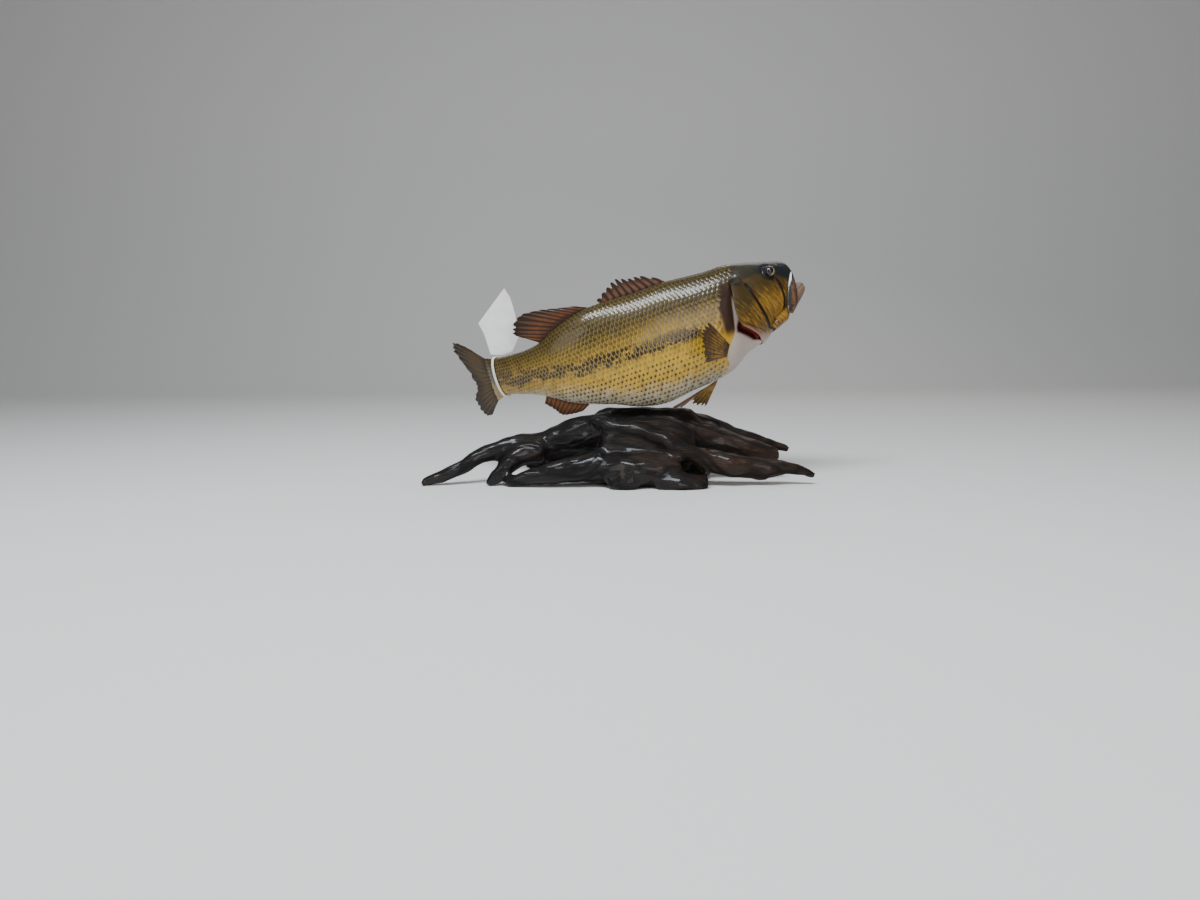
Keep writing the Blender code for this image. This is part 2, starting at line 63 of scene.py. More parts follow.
class Paint:
    """A socket of a finish. Arithmetic on it adds Math nodes, or Vector Math where it is a vector or colour."""

    def __init__(self, tree, socket=None):
        self.tree = tree
        self.socket = socket

    def node(self, kind, settings=(), sockets=(), output=0):
        made = self.tree.nodes.new("ShaderNode" + kind)
        for name, value in dict(settings).items():
            setattr(made, name, value)
        for name, value in dict(sockets).items():
            if isinstance(value, Paint):
                self.tree.links.new(value.socket, made.inputs[name])
            else:
                made.inputs[name].default_value = value
        return Paint(self.tree, made.outputs[output])

    def maths(self, operation, *others):
        terms = (self, *others)
        links = [t for t in terms if isinstance(t, Paint)]
        vector = any(isinstance(t, tuple) for t in terms) or any(t.socket.type != "VALUE" for t in links)
        if vector:
            terms = [(t, t, t) if isinstance(t, (int, float)) else t for t in terms]
        kind = "VectorMath" if vector else "Math"
        return self.node(kind, {"operation": operation}, dict(enumerate(terms)))

    def __add__(self, other):
        return self.maths("ADD", other)

    def __mul__(self, other):
        return self.maths("MULTIPLY", other)

    def __sub__(self, other):
        return self.maths("SUBTRACT", other)

    def __truediv__(self, other):
        return self.maths("DIVIDE", other)

    def __rsub__(self, other):
        return self * -1.0 + other

    __radd__ = __add__
    __rmul__ = __mul__

    def rise(self, low, high):
        """0 below low and 1 above high, with a smooth step between; low may be the larger."""
        ends = {"From Min": low, "From Max": high}
        return self.node("MapRange", {"interpolation_type": "SMOOTHSTEP"}, {"Value": self, **ends})

    def bell(self, centre, width):
        """1 at centre, falling away on both sides."""
        off = (self - centre) / width
        return (off * off * -1.0).maths("EXPONENT")

    def between(self, first, second):
        """A colour mixed from two, by this share of the second."""
        sockets = {0: self, 6: first, 7: second}
        return self.node("Mix", {"data_type": "RGBA"}, sockets, output=2)

    def mark(self, name):
        """What a piece carries at each of its points under this name."""
        return self.node("Attribute", {"attribute_name": name}, output="Vector")

    def part(self, axis):
        return self.node("SeparateXYZ", sockets={0: self}, output=axis)

    def noise(self, scale, detail=3.0, roughness=0.55):
        sockets = {"Vector": self, "Scale": scale, "Detail": detail, "Roughness": roughness}
        return self.node("TexNoise", {"noise_dimensions": "3D"}, sockets)

    def bumped(self, strength, distance, normal=None):
        sockets = {"Strength": strength, "Distance": distance, "Height": self}
        if normal:
            sockets["Normal"] = normal
        return self.node("Bump", sockets=sockets)


def new_finish(name):
    """A material, the start of its expressions, and a function that dresses its shader's sockets."""
    made = bpy.data.materials.new(name)
    made.use_nodes = True
    tree = made.node_tree
    shader = tree.nodes["Principled BSDF"]

    def dress(**sockets):
        for label, value in sockets.items():
            socket = shader.inputs[label.replace("_", " ")]
            if isinstance(value, Paint):
                tree.links.new(value.socket, socket)
            else:
                socket.default_value = value

    return made, Paint(tree), dress


def add_piece(name, points, faces, finish, nodes, marks=()):
    """A mesh in metres that stands for solids; marks are vectors that its finish reads at each point."""
    mesh = bpy.data.meshes.new(name)
    mesh.from_pydata(np.asarray(points).tolist(), [], faces if isinstance(faces, list) else faces.tolist())
    for label, values in dict(marks).items():
        layer = mesh.attributes.new(label, "FLOAT_VECTOR", "POINT")
        layer.data.foreach_set("vector", np.asarray(values, np.float32).ravel())
    mesh.materials.append(finish)
    mesh.shade_smooth()
    piece = bpy.data.objects.new(name, mesh)
    bpy.context.scene.collection.objects.link(piece)
    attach(piece, "root")
    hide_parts(*nodes)
    return piece


def wood_surface():
    """The root's points and faces on a fine grid, and how deep each point lies in a groove."""
    rough = bpy.data.objects.new("rough_wood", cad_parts["driftwood"].data.copy())
    bpy.context.scene.collection.objects.link(rough)
    remesh = rough.modifiers.new("grid", "REMESH")
    remesh.mode = "VOXEL"
    remesh.voxel_size = WOOD_GRID
    smooth = rough.modifiers.new("smooth", "SMOOTH")
    smooth.iterations = WOOD_SMOOTH
    graph = bpy.context.evaluated_depsgraph_get()
    fine = bpy.data.meshes.new_from_object(rough.evaluated_get(graph))
    points = np.empty(len(fine.vertices) * 3)
    fine.vertices.foreach_get("co", points)
    normals = np.empty(len(fine.vertices) * 3)
    fine.vertex_normals.foreach_get("vector", normals)
    faces = [tuple(face.vertices) for face in fine.polygons]
    bpy.data.objects.remove(rough)
    points = points.reshape(-1, 3)
    normals = normals.reshape(-1, 3)
    arch = np.array(WOOD_ARCH, float) * MM
    rise = np.interp(points[:, 0], arch[:, 0], arch[:, 1])
    depth = np.empty(len(points))
    groove = np.empty(len(points))
    for i, (x, y, z) in enumerate(points):
        wander = noise.noise(Vector((x * 20.0, y * 12.0, z * 12.0)))
        lie = Vector((x * 7.0, y * 95.0, (z - rise[i]) * 95.0 + wander * 2.2))
        ridge = 1.0 - abs(noise.noise(lie)) * 2.0
        fine_lie = Vector((x * 22.0, y * 330.0, (z - rise[i]) * 330.0 + wander * 6.0))
        fine_ridge = noise.noise(fine_lie)
        swell = noise.noise(Vector((x * 12.0, y * 26.0, z * 26.0)))
        groove[i] = ridge
        depth[i] = -1.3 * max(ridge - 0.45, 0.0) ** 1.3 + 0.34 * fine_ridge + 0.9 * swell
    foot = np.clip(points[:, 2] / 0.004, 0.0, 1.0)
    points = points + normals * (depth * foot * MM)[:, None]
    return points, faces, groove


wood_points, wood_faces, wood_groove = wood_surface()
wood_low, wood_high = (np.array(corner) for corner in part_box("driftwood"))
wood_points = np.clip(wood_points, wood_low, wood_high)

varnish, start, dress = new_finish("varnished_driftwood")
place = start.node("TexCoord", output="Object")
groove = start.mark("groove").part("X")
lie = place * (14.0, 90.0, 90.0)
streak = lie.noise(1.0, 6.0, 0.65)
hair = (place * (60.0, 700.0, 700.0)).noise(1.0, 4.0, 0.6)
patch = (place * (9.0, 16.0, 16.0)).noise(1.0, 3.0, 0.5)
right_end = place.part("X").rise(0.02, 0.12)
browner = (patch.rise(0.42, 0.66) * 0.5 + right_end * 0.55) * streak.rise(0.30, 0.62)
colour = browner.between(WOOD_BLACK, WOOD_BROWN)
dry = streak.rise(0.56, 0.72) * right_end * 0.50 + groove.rise(0.0, -0.6) * 0.10
colour = dry.between(colour, WOOD_DRY)
# painted shade: the deepest grooves are darkened towards near black
colour = (groove.rise(0.55, 0.95) * 0.75).between(colour, WOOD_GROOVE_SHADE)
dress(
    Base_Color=colour,
    Roughness=0.30 + streak * 0.28 + groove.rise(0.4, 0.9) * 0.2,
    Coat_Weight=0.40 - groove.rise(0.3, 0.9) * 0.30 - right_end * 0.15,
    Coat_Roughness=0.13,
    Specular_IOR_Level=0.16,
    Normal=(streak * 1.2 + hair * 0.6).bumped(1.0, 0.0018),
)
add_piece("driftwood_root", wood_points, wood_faces, varnish, ["driftwood"],
          {"groove": np.stack([wood_groove] * 3, -1)})


# Skin. The whole hide of the bass in one piece, from the tail's root to the lips, tanned, filled,
# painted and glossed. The gill covers are part of it: it folds in behind them, and out at the shoulder.
# The fish is described straight, in millimetres (u to the snout, v to its left, w up), then bent.
NOSE_UP = math.radians(17.0)
TAIL_TURN = math.radians(53.0)
TAIL_BEND = (-20.0, -210.0)
HEAD_TURN = math.radians(24.0)
HEAD_BEND = (70.0, 175.0)
FISH_AT = (29.9, -21.2, 151.0)
SKIN_INSET = 1.1            # under the solids' outline, which is that of the scales
WIDEST_BELOW = 0.03
# u, top, bottom, half width, and how square the sides are
OUTLINE = [
    (-197.0, 46.0, -9.0, 4.2, 0.80),
    (-188.0, 43.5, -6.5, 7.8, 0.80),
    (-171.0, 42.0, -6.0, 10.6, 0.82),
    (-150.0, 41.0, -10.5, 12.3, 0.84),
    (-131.0, 40.8, -16.0, 14.0, 0.84),
    (-110.0, 44.0, -26.5, 16.8, 0.85),
    (-90.0, 53.0, -37.5, 20.0, 0.85),
    (-70.0, 60.0, -44.5, 23.0, 0.85),
    (-45.0, 65.0, -52.5, 27.0, 0.84),
    (-20.0, 65.8, -63.0, 30.5, 0.82),
    (10.0, 65.0, -68.0, 33.0, 0.80),
    (45.0, 66.5, -63.5, 34.0, 0.80),
    (75.0, 64.5, -60.0, 33.5, 0.80),
    (95.0, 63.5, -55.0, 32.5, 0.80),
    (112.0, 64.0, -44.0, 31.0, 0.80),
    (125.0, 63.0, -38.5, 31.5, 0.78),
    (140.0, 60.0, -33.0, 30.5, 0.76),
    (146.0, 58.8, -28.0, 29.2, 0.76),
    (152.0, 57.4, -22.5, 27.5, 0.76),
    (158.0, 56.0, -18.0, 25.9, 0.75),
    (165.0, 54.6, -13.5, 24.0, 0.74),
    (172.0, 53.0, -8.0, 21.7, 0.74),
    (180.0, 51.5, -0.5, 19.0, 0.74),
    (190.0, 47.6, 10.6, 14.0, 0.74),
    (194.5, 42.0, 16.2, 11.4, 0.72),
    (197.0, 33.5, 18.4, 8.8, 0.74),
    (198.4, 26.5, 20.6, 4.0, 0.80),
    (198.9, 24.0, 22.6, 0.4, 0.80),
]
# The lower jaw, in the same columns
JAW = [
    (138.0, -18.0, -27.0, 12.0, 0.70),
    (144.0, -12.0, -28.0, 21.0, 0.64),
    (150.6, -8.0, -26.2, 24.2, 0.62),
    (160.0, -5.0, -23.0, 22.4, 0.62),
    (170.0, -1.0, -19.8, 19.6, 0.62),
    (180.0, 5.4, -15.0, 16.8, 0.64),
    (190.0, 12.6, -8.2, 13.6, 0.66),
    (200.0, 18.6, -1.5, 10.8, 0.70),
    (207.0, 19.4, 4.0, 8.0, 0.75),
    (210.3, 16.3, 7.6, 5.0, 0.80),
    (211.4, 13.6, 10.6, 1.0, 0.80),
]
# Gill cover: w, u and v of its front edge on the cheek and of its rear edge
COVER_FRONT = [(-40.0, 140.0, 4.0), (-32.0, 138.6, 14.0), (-22.5, 136.6, 24.5), (-8.0, 133.4, 32.6),
               (7.0, 130.4, 34.5), (22.0, 127.2, 33.0), (36.0, 124.2, 28.0), (50.0, 122.0, 20.0)]
COVER_REAR = [(-42.0, 134.0, 2.0), (-36.0, 131.0, 14.0), (-27.0, 125.0, 29.5), (-18.0, 118.5, 39.0),
              (-10.0, 112.5, 44.5), (-2.0, 107.0, 47.8), (13.0, 105.0, 49.0), (30.0, 107.5, 43.5),
              (44.0, 111.0, 32.5), (52.0, 113.0, 24.0)]
# how far the shoulder runs on under the cover, by height: less than nothing is where the gills show
SHOULDER_UNDER = [(-42.0, 4.0), (-35.0, -3.0), (-28.0, -8.5), (-8.0, -8.5), (-1.0, -2.0), (8.0, 9.0),
                  (60.0, 12.0)]
COVER_ENDS = (49.0, 40.0)   # heights where the slit closes at the top and where it is full
COVER_THICK = 1.7
COVER_MEETS = 152.0
AROUND = 320
HIDE_START = -197.0         # at the tail's root
FACE_TURNS = 190.0          # ahead of it the face curves round to the lips
HIDE_END = 198.9
BODY_RINGS, SHOULDER_RINGS, INNER_RINGS, COVER_RINGS = 76, 10, 14, 60


def eased(a, b, slope_a, slope_b, x):
    """The smooth curve from a to b that leaves and arrives with these slopes."""
    return ((2 * x**3 - 3 * x**2 + 1) * a + (x**3 - 2 * x**2 + x) * slope_a
            + (3 * x**2 - 2 * x**3) * b + (x**3 - x**2) * slope_b)


def table_at(rows, u):
    """The rows of a table at each u, smoothed between its rows."""
    table = np.asarray(rows, float)
    us = table[:, 0]
    u = np.asarray(u, float)
    i = np.clip(np.searchsorted(us, u) - 1, 0, len(us) - 2)
    a, b = table[i], table[i + 1]
    before, after = table[np.maximum(i - 1, 0)], table[np.minimum(i + 2, len(us) - 1)]
    run = (b - a)[..., :1]
    x = np.clip((u[..., None] - a[..., :1]) / run, 0.0, 1.0)
    slope_a = (b - before) / np.maximum((b - before)[..., :1], 1e-6) * run
    slope_b = (after - a) / np.maximum((after - a)[..., :1], 1e-6) * run
    return eased(a, b, slope_a, slope_b, x)


def smooth(low, high, value):
    x = np.clip((value - low) / (high - low), 0.0, 1.0)
    return x * x * (3 - 2 * x)


def turn_at(u):
    """The fish's heading at u, in plan."""
    tail = np.clip((TAIL_BEND[0] - u) / (TAIL_BEND[0] - TAIL_BEND[1]), 0.0, 1.0)
    return -TAIL_TURN * tail**1.4 + HEAD_TURN * smooth(*HEAD_BEND, u)


BEND_STEP = 0.5
BEND_U = np.arange(-320.0, 260.0 + BEND_STEP, BEND_STEP)


def running_sum(values):
    sums = np.concatenate([[0.0], np.cumsum((values[1:] + values[:-1]) * BEND_STEP / 2)])
    return sums - np.interp(0.0, BEND_U, sums)


BEND_X = running_sum(np.cos(turn_at(BEND_U)))
BEND_Y = running_sum(np.sin(turn_at(BEND_U)))


def bent(points):
    """Points of the straight fish, in the mount, in metres."""
    u, v, w = np.moveaxis(np.asarray(points, float), -1, 0)
    turn = turn_at(u)
    x = np.interp(u, BEND_U, BEND_X) - v * np.sin(turn)
    y = np.interp(u, BEND_U, BEND_Y) + v * np.cos(turn)
    rise, fore = math.sin(NOSE_UP), math.cos(NOSE_UP)
    spots = [x * fore - w * rise + FISH_AT[0], y + FISH_AT[1], x * rise + w * fore + FISH_AT[2]]
    return np.stack(spots, -1) * MM


def body_at(rows, u, angle, grow):
    """The point of the body at u and an angle round it: 0 at its left, a quarter turn at its back."""
    row = table_at(rows, u)
    top, bottom, half, square = (row[..., k] for k in range(1, 5))
    middle = (top + bottom) / 2 - WIDEST_BELOW * (top - bottom)
    height = np.where(np.sin(angle) > 0, top - middle, middle - bottom) + grow
    wide = np.maximum(half + grow, 0.1) * np.sign(np.cos(angle)) * np.abs(np.cos(angle)) ** square
    return np.stack(np.broadcast_arrays(u, wide, middle + height * np.sin(angle)), -1)


def along(rings_u):
    return np.asarray(rings_u)[:, None]


def hide_rings():
    """Rings of points of the hide, tail to lips, with the fold behind the gill covers worked in."""
    angle = (2 * math.pi * (np.arange(AROUND) + 0.5) / AROUND)[None, :]
    side = np.sign(np.cos(angle))
    level = body_at(OUTLINE, np.full_like(angle, 118.0), angle, 0.0)[..., 2]
    _, rear_u, rear_v = np.moveaxis(table_at(COVER_REAR, level), -1, 0)
    _, front_u, front_v = np.moveaxis(table_at(COVER_FRONT, level), -1, 0)
    open_share = smooth(COVER_ENDS[0], COVER_ENDS[1], level)
    below = smooth(-20.0, -38.0, level)

    def flat(u):
        return body_at(OUTLINE, u, angle, -SKIN_INSET)

    def cover(u):
        """The outer face of the gill cover, and ahead of it the cheek that it grows from."""
        point = flat(u)
        share = (front_u - u) / (front_u - rear_u)
        on = np.clip(share, 0.0, 1.0)
        out = front_v + (rear_v - front_v) * on + 2.0 * np.sin(math.pi * on) + 0.5
        off = np.maximum(out - np.abs(point[..., 1]), 0.0)
        fade = np.where(share < 0, 1.0 - smooth(0.0, 1.0, (u - front_u) / (COVER_MEETS - front_u)), 1.0)
        point[..., 1] += side * off * fade * open_share
        point[..., 2] -= below * fade * 1.4
        return point

    shoulder = rear_u + np.interp(level, *zip(*SHOULDER_UNDER))
    deep = np.minimum(shoulder + 11.0, 141.0)
    inner_end = np.minimum(rear_u + 21.0, 143.0)
    folded, lying = [], []
    for share in np.linspace(0.0, 1.0, BODY_RINGS):
        folded.append(flat(HIDE_START + share * (shoulder - HIDE_START)))
        lying.append(flat(HIDE_START + share * (rear_u - 2.0 - HIDE_START)))
    for share in np.linspace(0.0, 1.0, SHOULDER_RINGS)[1:]:
        point = flat(shoulder + (deep - shoulder) * share)
        point[..., 1] *= 1.0 - 0.34 * smooth(0.0, 0.8, share)
        folded.append(point)
        lying.append(flat(rear_u - 2.0 + share))
    for share in np.linspace(0.0, 1.0, INNER_RINGS):
        point = cover(inner_end + (rear_u + 0.3 - inner_end) * share)
        point[..., 1] -= side * COVER_THICK * np.abs(np.cos(angle)) ** 0.3
        point[..., 2] += below * COVER_THICK
        folded.append(point)
        lying.append(flat(rear_u - 1.0 + share * 0.8))
    for back, thin in ((-0.45, 0.8), (-0.55, 0.35)):
        point = cover(rear_u)
        point[..., 0] += back
        point[..., 1] -= side * COVER_THICK * thin * np.abs(np.cos(angle)) ** 0.3
        folded.append(point)
        lying.append(flat(rear_u - 0.1))
    first_outer = len(folded)
    for share in np.linspace(0.0, 1.0, COVER_RINGS):
        u = rear_u + (COVER_MEETS - rear_u) * share
        folded.append(cover(u))
        lying.append(flat(u))
    cheek_u = np.linspace(COVER_MEETS, FACE_TURNS, 50)[1:]
    lips_u = np.linspace(FACE_TURNS, HIDE_END, 22)[1:]
    for u in np.concatenate([cheek_u, lips_u]):
        folded.append(flat(np.full_like(angle, u)))
        lying.append(folded[-1])
    folded, lying = np.array(folded)[:, 0], np.array(lying)[:, 0]
    rings = lying + (folded - lying) * open_share[..., None]
    for _ in range(5):
        inside = rings[first_outer + 1:-1]
        inside += 0.25 * (rings[first_outer:-2] + rings[first_outer + 2:] - 2 * inside)
    return rings, first_outer


def normals_of(rings):
    """Outward directions on rings of points that are closed round."""
    ahead = np.gradient(rings, axis=0)
    around = np.roll(rings, -1, axis=1) - np.roll(rings, 1, axis=1)
    out = np.cross(around, ahead)
    return -out / np.maximum(np.linalg.norm(out, axis=-1, keepdims=True), 1e-9)


def off_line(points, line):
    """How far each point lies from a line of u, w places, and how far along it its nearest place is."""
    spots = points[..., [0, 2]]
    knots = np.asarray(line, float)
    best = np.full(spots.shape[:-1], 1e9)
    share = np.zeros(spots.shape[:-1])
    for k, (a, b) in enumerate(zip(knots[:-1], knots[1:])):
        t = np.clip(((spots - a) @ (b - a)) / ((b - a) @ (b - a)), 0.0, 1.0)
        away = np.linalg.norm(spots - a - t[..., None] * (b - a), axis=-1)
        share = np.where(away < best, (k + t) / (len(knots) - 1), share)
        best = np.minimum(best, away)
    return best, share


PREOPERCLE = [(125.0, 35.0), (127.5, 20.0), (131.5, 4.0), (136.0, -10.0), (139.5, -19.0), (146.0, -24.0)]
PREOPERCLE_RIDGE = [(131.0, 33.0), (134.0, 18.0), (138.0, 3.0), (142.0, -8.0), (147.0, -17.0)]
SUBOPERCLE = [(108.0, -3.0), (116.0, -10.0), (125.0, -17.0), (134.0, -24.0)]
CHEEK_FRONT = [(163.0, 30.0), (166.5, 18.0), (167.0, 6.0), (165.0, -3.0)]
EYE_PLACE = (156.6, 40.5)
EYE_RADIUS = 6.4
NOSTRILS = [((173.0, 44.0), 1.3), ((177.5, 41.6), 1.0)]
LIP_LINE = [(172.0, 2.0), (180.0, 8.0), (190.0, 16.5), (196.0, 21.0)]

hide, first_outer = hide_rings()
outward = normals_of(hide)
relief = np.zeros(hide.shape[:2])
# each line's width, and its height or depth
FACE_LINES = [(PREOPERCLE, 1.9, -2.3), (PREOPERCLE_RIDGE, 3.0, 1.0), (SUBOPERCLE, 1.1, -0.7),
              (CHEEK_FRONT, 1.8, -1.2), (LIP_LINE, 1.8, 0.7)]
for line, width, height in FACE_LINES:
    away, share = off_line(hide, line)
    ends = smooth(0.0, 0.12, share) * smooth(1.0, 0.88, share)
    relief += height * np.exp(-(away / width) ** 2) * (0.25 + 0.75 * ends)
eye_away = np.hypot(hide[..., 0] - EYE_PLACE[0], hide[..., 2] - EYE_PLACE[1])
relief += 1.0 * np.exp(-((eye_away - EYE_RADIUS - 1.6) / 1.6) ** 2)
relief -= 3.2 * smooth(EYE_RADIUS + 0.6, EYE_RADIUS - 1.6, eye_away)
relief -= 0.8 * np.exp(-((np.hypot((hide[..., 0] - 159.0) / 1.5, hide[..., 2] - 28.0)) / 5.0) ** 2)
for (u, w), radius in NOSTRILS:
    relief -= 1.2 * np.exp(-(np.hypot(hide[..., 0] - u, hide[..., 2] - w) / radius) ** 2)
relief[:first_outer] = 0.0
hide = hide + outward * relief[..., None]


def face_marks(points):
    """For the finish: the angle round the eye, how far off it is, and how near the face's grooves are, where
    shade is painted.
    """
    du, dw = points[..., 0] - EYE_PLACE[0], points[..., 2] - EYE_PLACE[1]
    crease_shade = np.exp(-(off_line(points, PREOPERCLE)[0] / 1.7) ** 2)
    crease_shade = np.maximum(crease_shade, 0.5 * np.exp(-(off_line(points, SUBOPERCLE)[0] / 1.2) ** 2))
    crease_shade = np.maximum(crease_shade, 0.8 * np.exp(-(off_line(points, CHEEK_FRONT)[0] / 1.8) ** 2))
    return np.stack([np.arctan2(dw, du), np.hypot(du, dw) / 100.0, crease_shade], -1)


def fold_marks(rings):
    """For the finish: 1 inside the gill slit, and how far each ring lies ahead of the cover's edge."""
    ring = np.arange(len(rings))[:, None] + 0.0 * rings[..., 0]
    inside = smooth(BODY_RINGS, BODY_RINGS + 3.0, ring) * smooth(first_outer - 1.0, first_outer - 4.0, ring)
    ahead = rings[..., 0] - rings[first_outer][None, :, 0]
    outer = (ring >= first_outer - 2) * 1.0
    return np.stack([inside, ahead / 100.0, outer], -1)


def ring_faces(rings, sides, first=0):
    """Quads between rings that are closed round."""
    k, i = np.meshgrid(np.arange(rings - 1), np.arange(sides), indexing="ij")
    j = (i + 1) % sides
    quads = [k * sides + i, k * sides + j, (k + 1) * sides + j, (k + 1) * sides + i]
    return np.stack(quads, -1).reshape(-1, 4) + first


def tube_piece(rings, first=0):
    """Points and faces of rings closed round, with both ends filled."""
    count, sides = rings.shape[:2]
    faces = ring_faces(count, sides, first).tolist()
    faces.append(list(range(first + sides - 1, first - 1, -1)))
    faces.append(list(range(first + (count - 1) * sides, first + count * sides)))
    return rings.reshape(-1, 3), faces


jaw_u = along(np.concatenate([np.linspace(138.0, 206.0, 86), np.linspace(206.0, 211.4, 12)[1:]]))
jaw_angle = (2 * math.pi * (np.arange(160) + 0.5) / 160)[None, :]
jaw_rings = body_at(JAW, jaw_u + 0 * jaw_angle, jaw_angle, -0.5)
jaw_out = normals_of(jaw_rings)
lip = (np.exp(-((jaw_angle - math.pi * 0.14) / 0.16) ** 2)
       + np.exp(-((jaw_angle - math.pi * 0.86) / 0.16) ** 2))
jaw_rings = jaw_rings + jaw_out * (0.8 * lip * smooth(165.0, 180.0, jaw_u))[..., None]

BACK = (0.040, 0.026, 0.006, 1)
FLANK = (0.30, 0.175, 0.020, 1)
YELLOW = (0.47, 0.275, 0.012, 1)
BELLY = (0.50, 0.46, 0.38, 1)
BLOTCH = (0.026, 0.011, 0.004, 1)
OLIVE_HEAD = (0.042, 0.032, 0.009, 1)
CHEEK_GOLD = (0.26, 0.135, 0.018, 1)
CHEEK_LIGHT = (0.42, 0.25, 0.050, 1)
CHEEK_BROWN = (0.060, 0.020, 0.005, 1)
SLATE = (0.010, 0.012, 0.013, 1)
THROAT = (0.46, 0.36, 0.28, 1)
BREAST = (0.44, 0.36, 0.31, 1)
# the shoulder's dark membrane, deepened with painted shadow from the flared gill cover
SHOULDER_STRIP_AND_SHADOW = (0.030, 0.012, 0.006, 1)
CHIN = (0.22, 0.105, 0.060, 1)
CHIN_GREY = (0.16, 0.15, 0.125, 1)
MOUTH_PINK = (0.42, 0.16, 0.11, 1)
GILL_DARK = (0.10, 0.012, 0.010, 1)
COVER_GOLD = (0.17, 0.092, 0.016, 1)
CROWN = (0.018, 0.015, 0.007, 1)
# painted shade in the grooves of the gill cover and cheek
CREASE_SHADE = (0.008, 0.004, 0.002, 1)
# painted shade for the top corner of the gill slit
SLIT_CORNER_SHADE = (0.008, 0.005, 0.003, 1)
# the jaw's pale skin together with a painted highlight
JAW_WHITE_AND_GLINT = (0.62, 0.63, 0.62, 1)


def fish_colour(start):
    """The bass's markings, by its place in the straight fish in tenths of a metre."""
    place = start.mark("place")
    u, side, w = place.part("X"), place.part("Y"), place.part("Z")
    mottle = (place * (1.0, 0.3, 1.0)).noise(9.0, 4.0, 0.6)
    fleck = place.noise(60.0, 3.0, 0.6)
    blotches = (place * (1.0, 0.2, 1.5)).noise(6.5, 4.0, 0.7)
    belly_at = -0.47 + u.rise(0.2, -1.4) * 0.37
    high = w + mottle * 0.20 - 0.10
    colour = high.rise(-0.02, 0.40).between(FLANK, BACK)
    colour = (high.rise(0.0, -0.20) * high.rise(-0.62, -0.36)).between(colour, YELLOW)
    pale = (high - belly_at).rise(0.10, -0.14)
    colour = pale.between(colour, BELLY)
    band = (w - u * u * 0.055 + blotches * 0.30 - 0.16).bell(0.0, 0.085) * blotches.rise(0.38, 0.50)
    band = band * u.rise(0.90, 0.45)
    colour = band.rise(0.10, 0.62).between(colour, BLOTCH)
    return colour, u, side, w, mottle, fleck


hide_paint, start, dress = new_finish("bass_skin")
colour, u, side, w, mottle, fleck = fish_colour(start)
face = start.mark("face")
fold = start.mark("fold")
crease_shade = face.part("Z")
inside, ahead, outer = fold.part("X"), fold.part("Y"), fold.part("Z")
# shoulder and breast, behind the slit; the shoulder's dark membrane strip is darkened further as painted shadow
# of the flared gill cover
behind = u - (1.045 + w * 0.15 - w.rise(-0.08, -0.36) * 0.10)
shoulder = u.rise(0.90, 0.955) * w.rise(-0.20, -0.06) * w.rise(0.50, 0.36)
colour = (shoulder * mottle.rise(0.15, 0.38)).between(colour, SHOULDER_STRIP_AND_SHADOW)
colour = (behind.rise(-0.012, 0.010) * w.rise(0.30, 0.16)).between(colour, BREAST)
# cheek, gill cover and face: fine lines slant down and forward
lean = start.node("CombineXYZ", sockets={0: u * 0.46 - w * 0.89, 1: u * 7.5 + w * 3.9, 2: side * 0.5})
spokes = (lean * (2.2, 2.4, 1.0)).noise(3.2, 5.0, 0.7)
streaks = (lean * (2.6, 2.0, 1.0) + (3.0, 1.0, 0.0)).noise(3.2, 5.0, 0.72)
cover = ahead.rise(0.24, 0.17)
cheek = (w + mottle * 0.16).rise(0.12, 0.40).between(CHEEK_GOLD, OLIVE_HEAD)
cheek = (spokes.rise(0.49, 0.58) * 0.88).between(cheek, CHEEK_BROWN)
cheek = (spokes.rise(0.46, 0.36) * w.rise(0.34, 0.10) * 0.70).between(cheek, CHEEK_LIGHT)
plate = (w + mottle * 0.20).rise(-0.02, 0.30).between(COVER_GOLD, OLIVE_HEAD)
plate = (streaks.rise(0.49, 0.60) * 0.85).between(plate, CHEEK_BROWN)
plate = (streaks.rise(0.46, 0.37) * w.rise(0.30, 0.05) * 0.60).between(plate, CHEEK_LIGHT)
head_colour = cover.between(cheek, plate)
head_colour = (w.rise(-0.20, -0.31) * 0.75).between(head_colour, THROAT)
crown = w.rise(0.36, 0.46) * (0.55 + spokes.rise(0.42, 0.56) * 0.45)
head_colour = crown.between(head_colour, CROWN)
# painted shade: the grooves of the gill cover and cheek are darkened to near black
head_colour = crease_shade.rise(0.10, 0.70).between(head_colour, CREASE_SHADE)
# painted shade: a dark spot at the top corner of the gill slit
corner = (u - 1.15).bell(0.0, 0.05) * (w - 0.40).bell(0.0, 0.05)
head_colour = corner.between(head_colour, SLIT_CORNER_SHADE)
dark_face = (u * 0.6 + w * 1.5 + mottle * 0.10).rise(1.50, 1.60) * u.rise(1.36, 1.50)
head_colour = dark_face.between(head_colour, SLATE)
round_eye = face.part("Y").rise(0.115, 0.075)
head_colour = (round_eye * 0.8).between(head_colour, SLATE)
chin = u.rise(1.78, 1.90) * w.rise(0.235, 0.205)
chin_colour = (fleck + mottle * 0.6).rise(0.70, 0.92).between(CHIN, CHIN_GREY)
head_colour = (chin * 0.9).between(head_colour, chin_colour)
rim = ahead.rise(0.020, 0.006) * w.rise(-0.04, -0.12)
head_colour = (rim * 0.7).between(head_colour, MOUTH_PINK)
colour = outer.rise(0.4, 0.6).between(colour, head_colour)
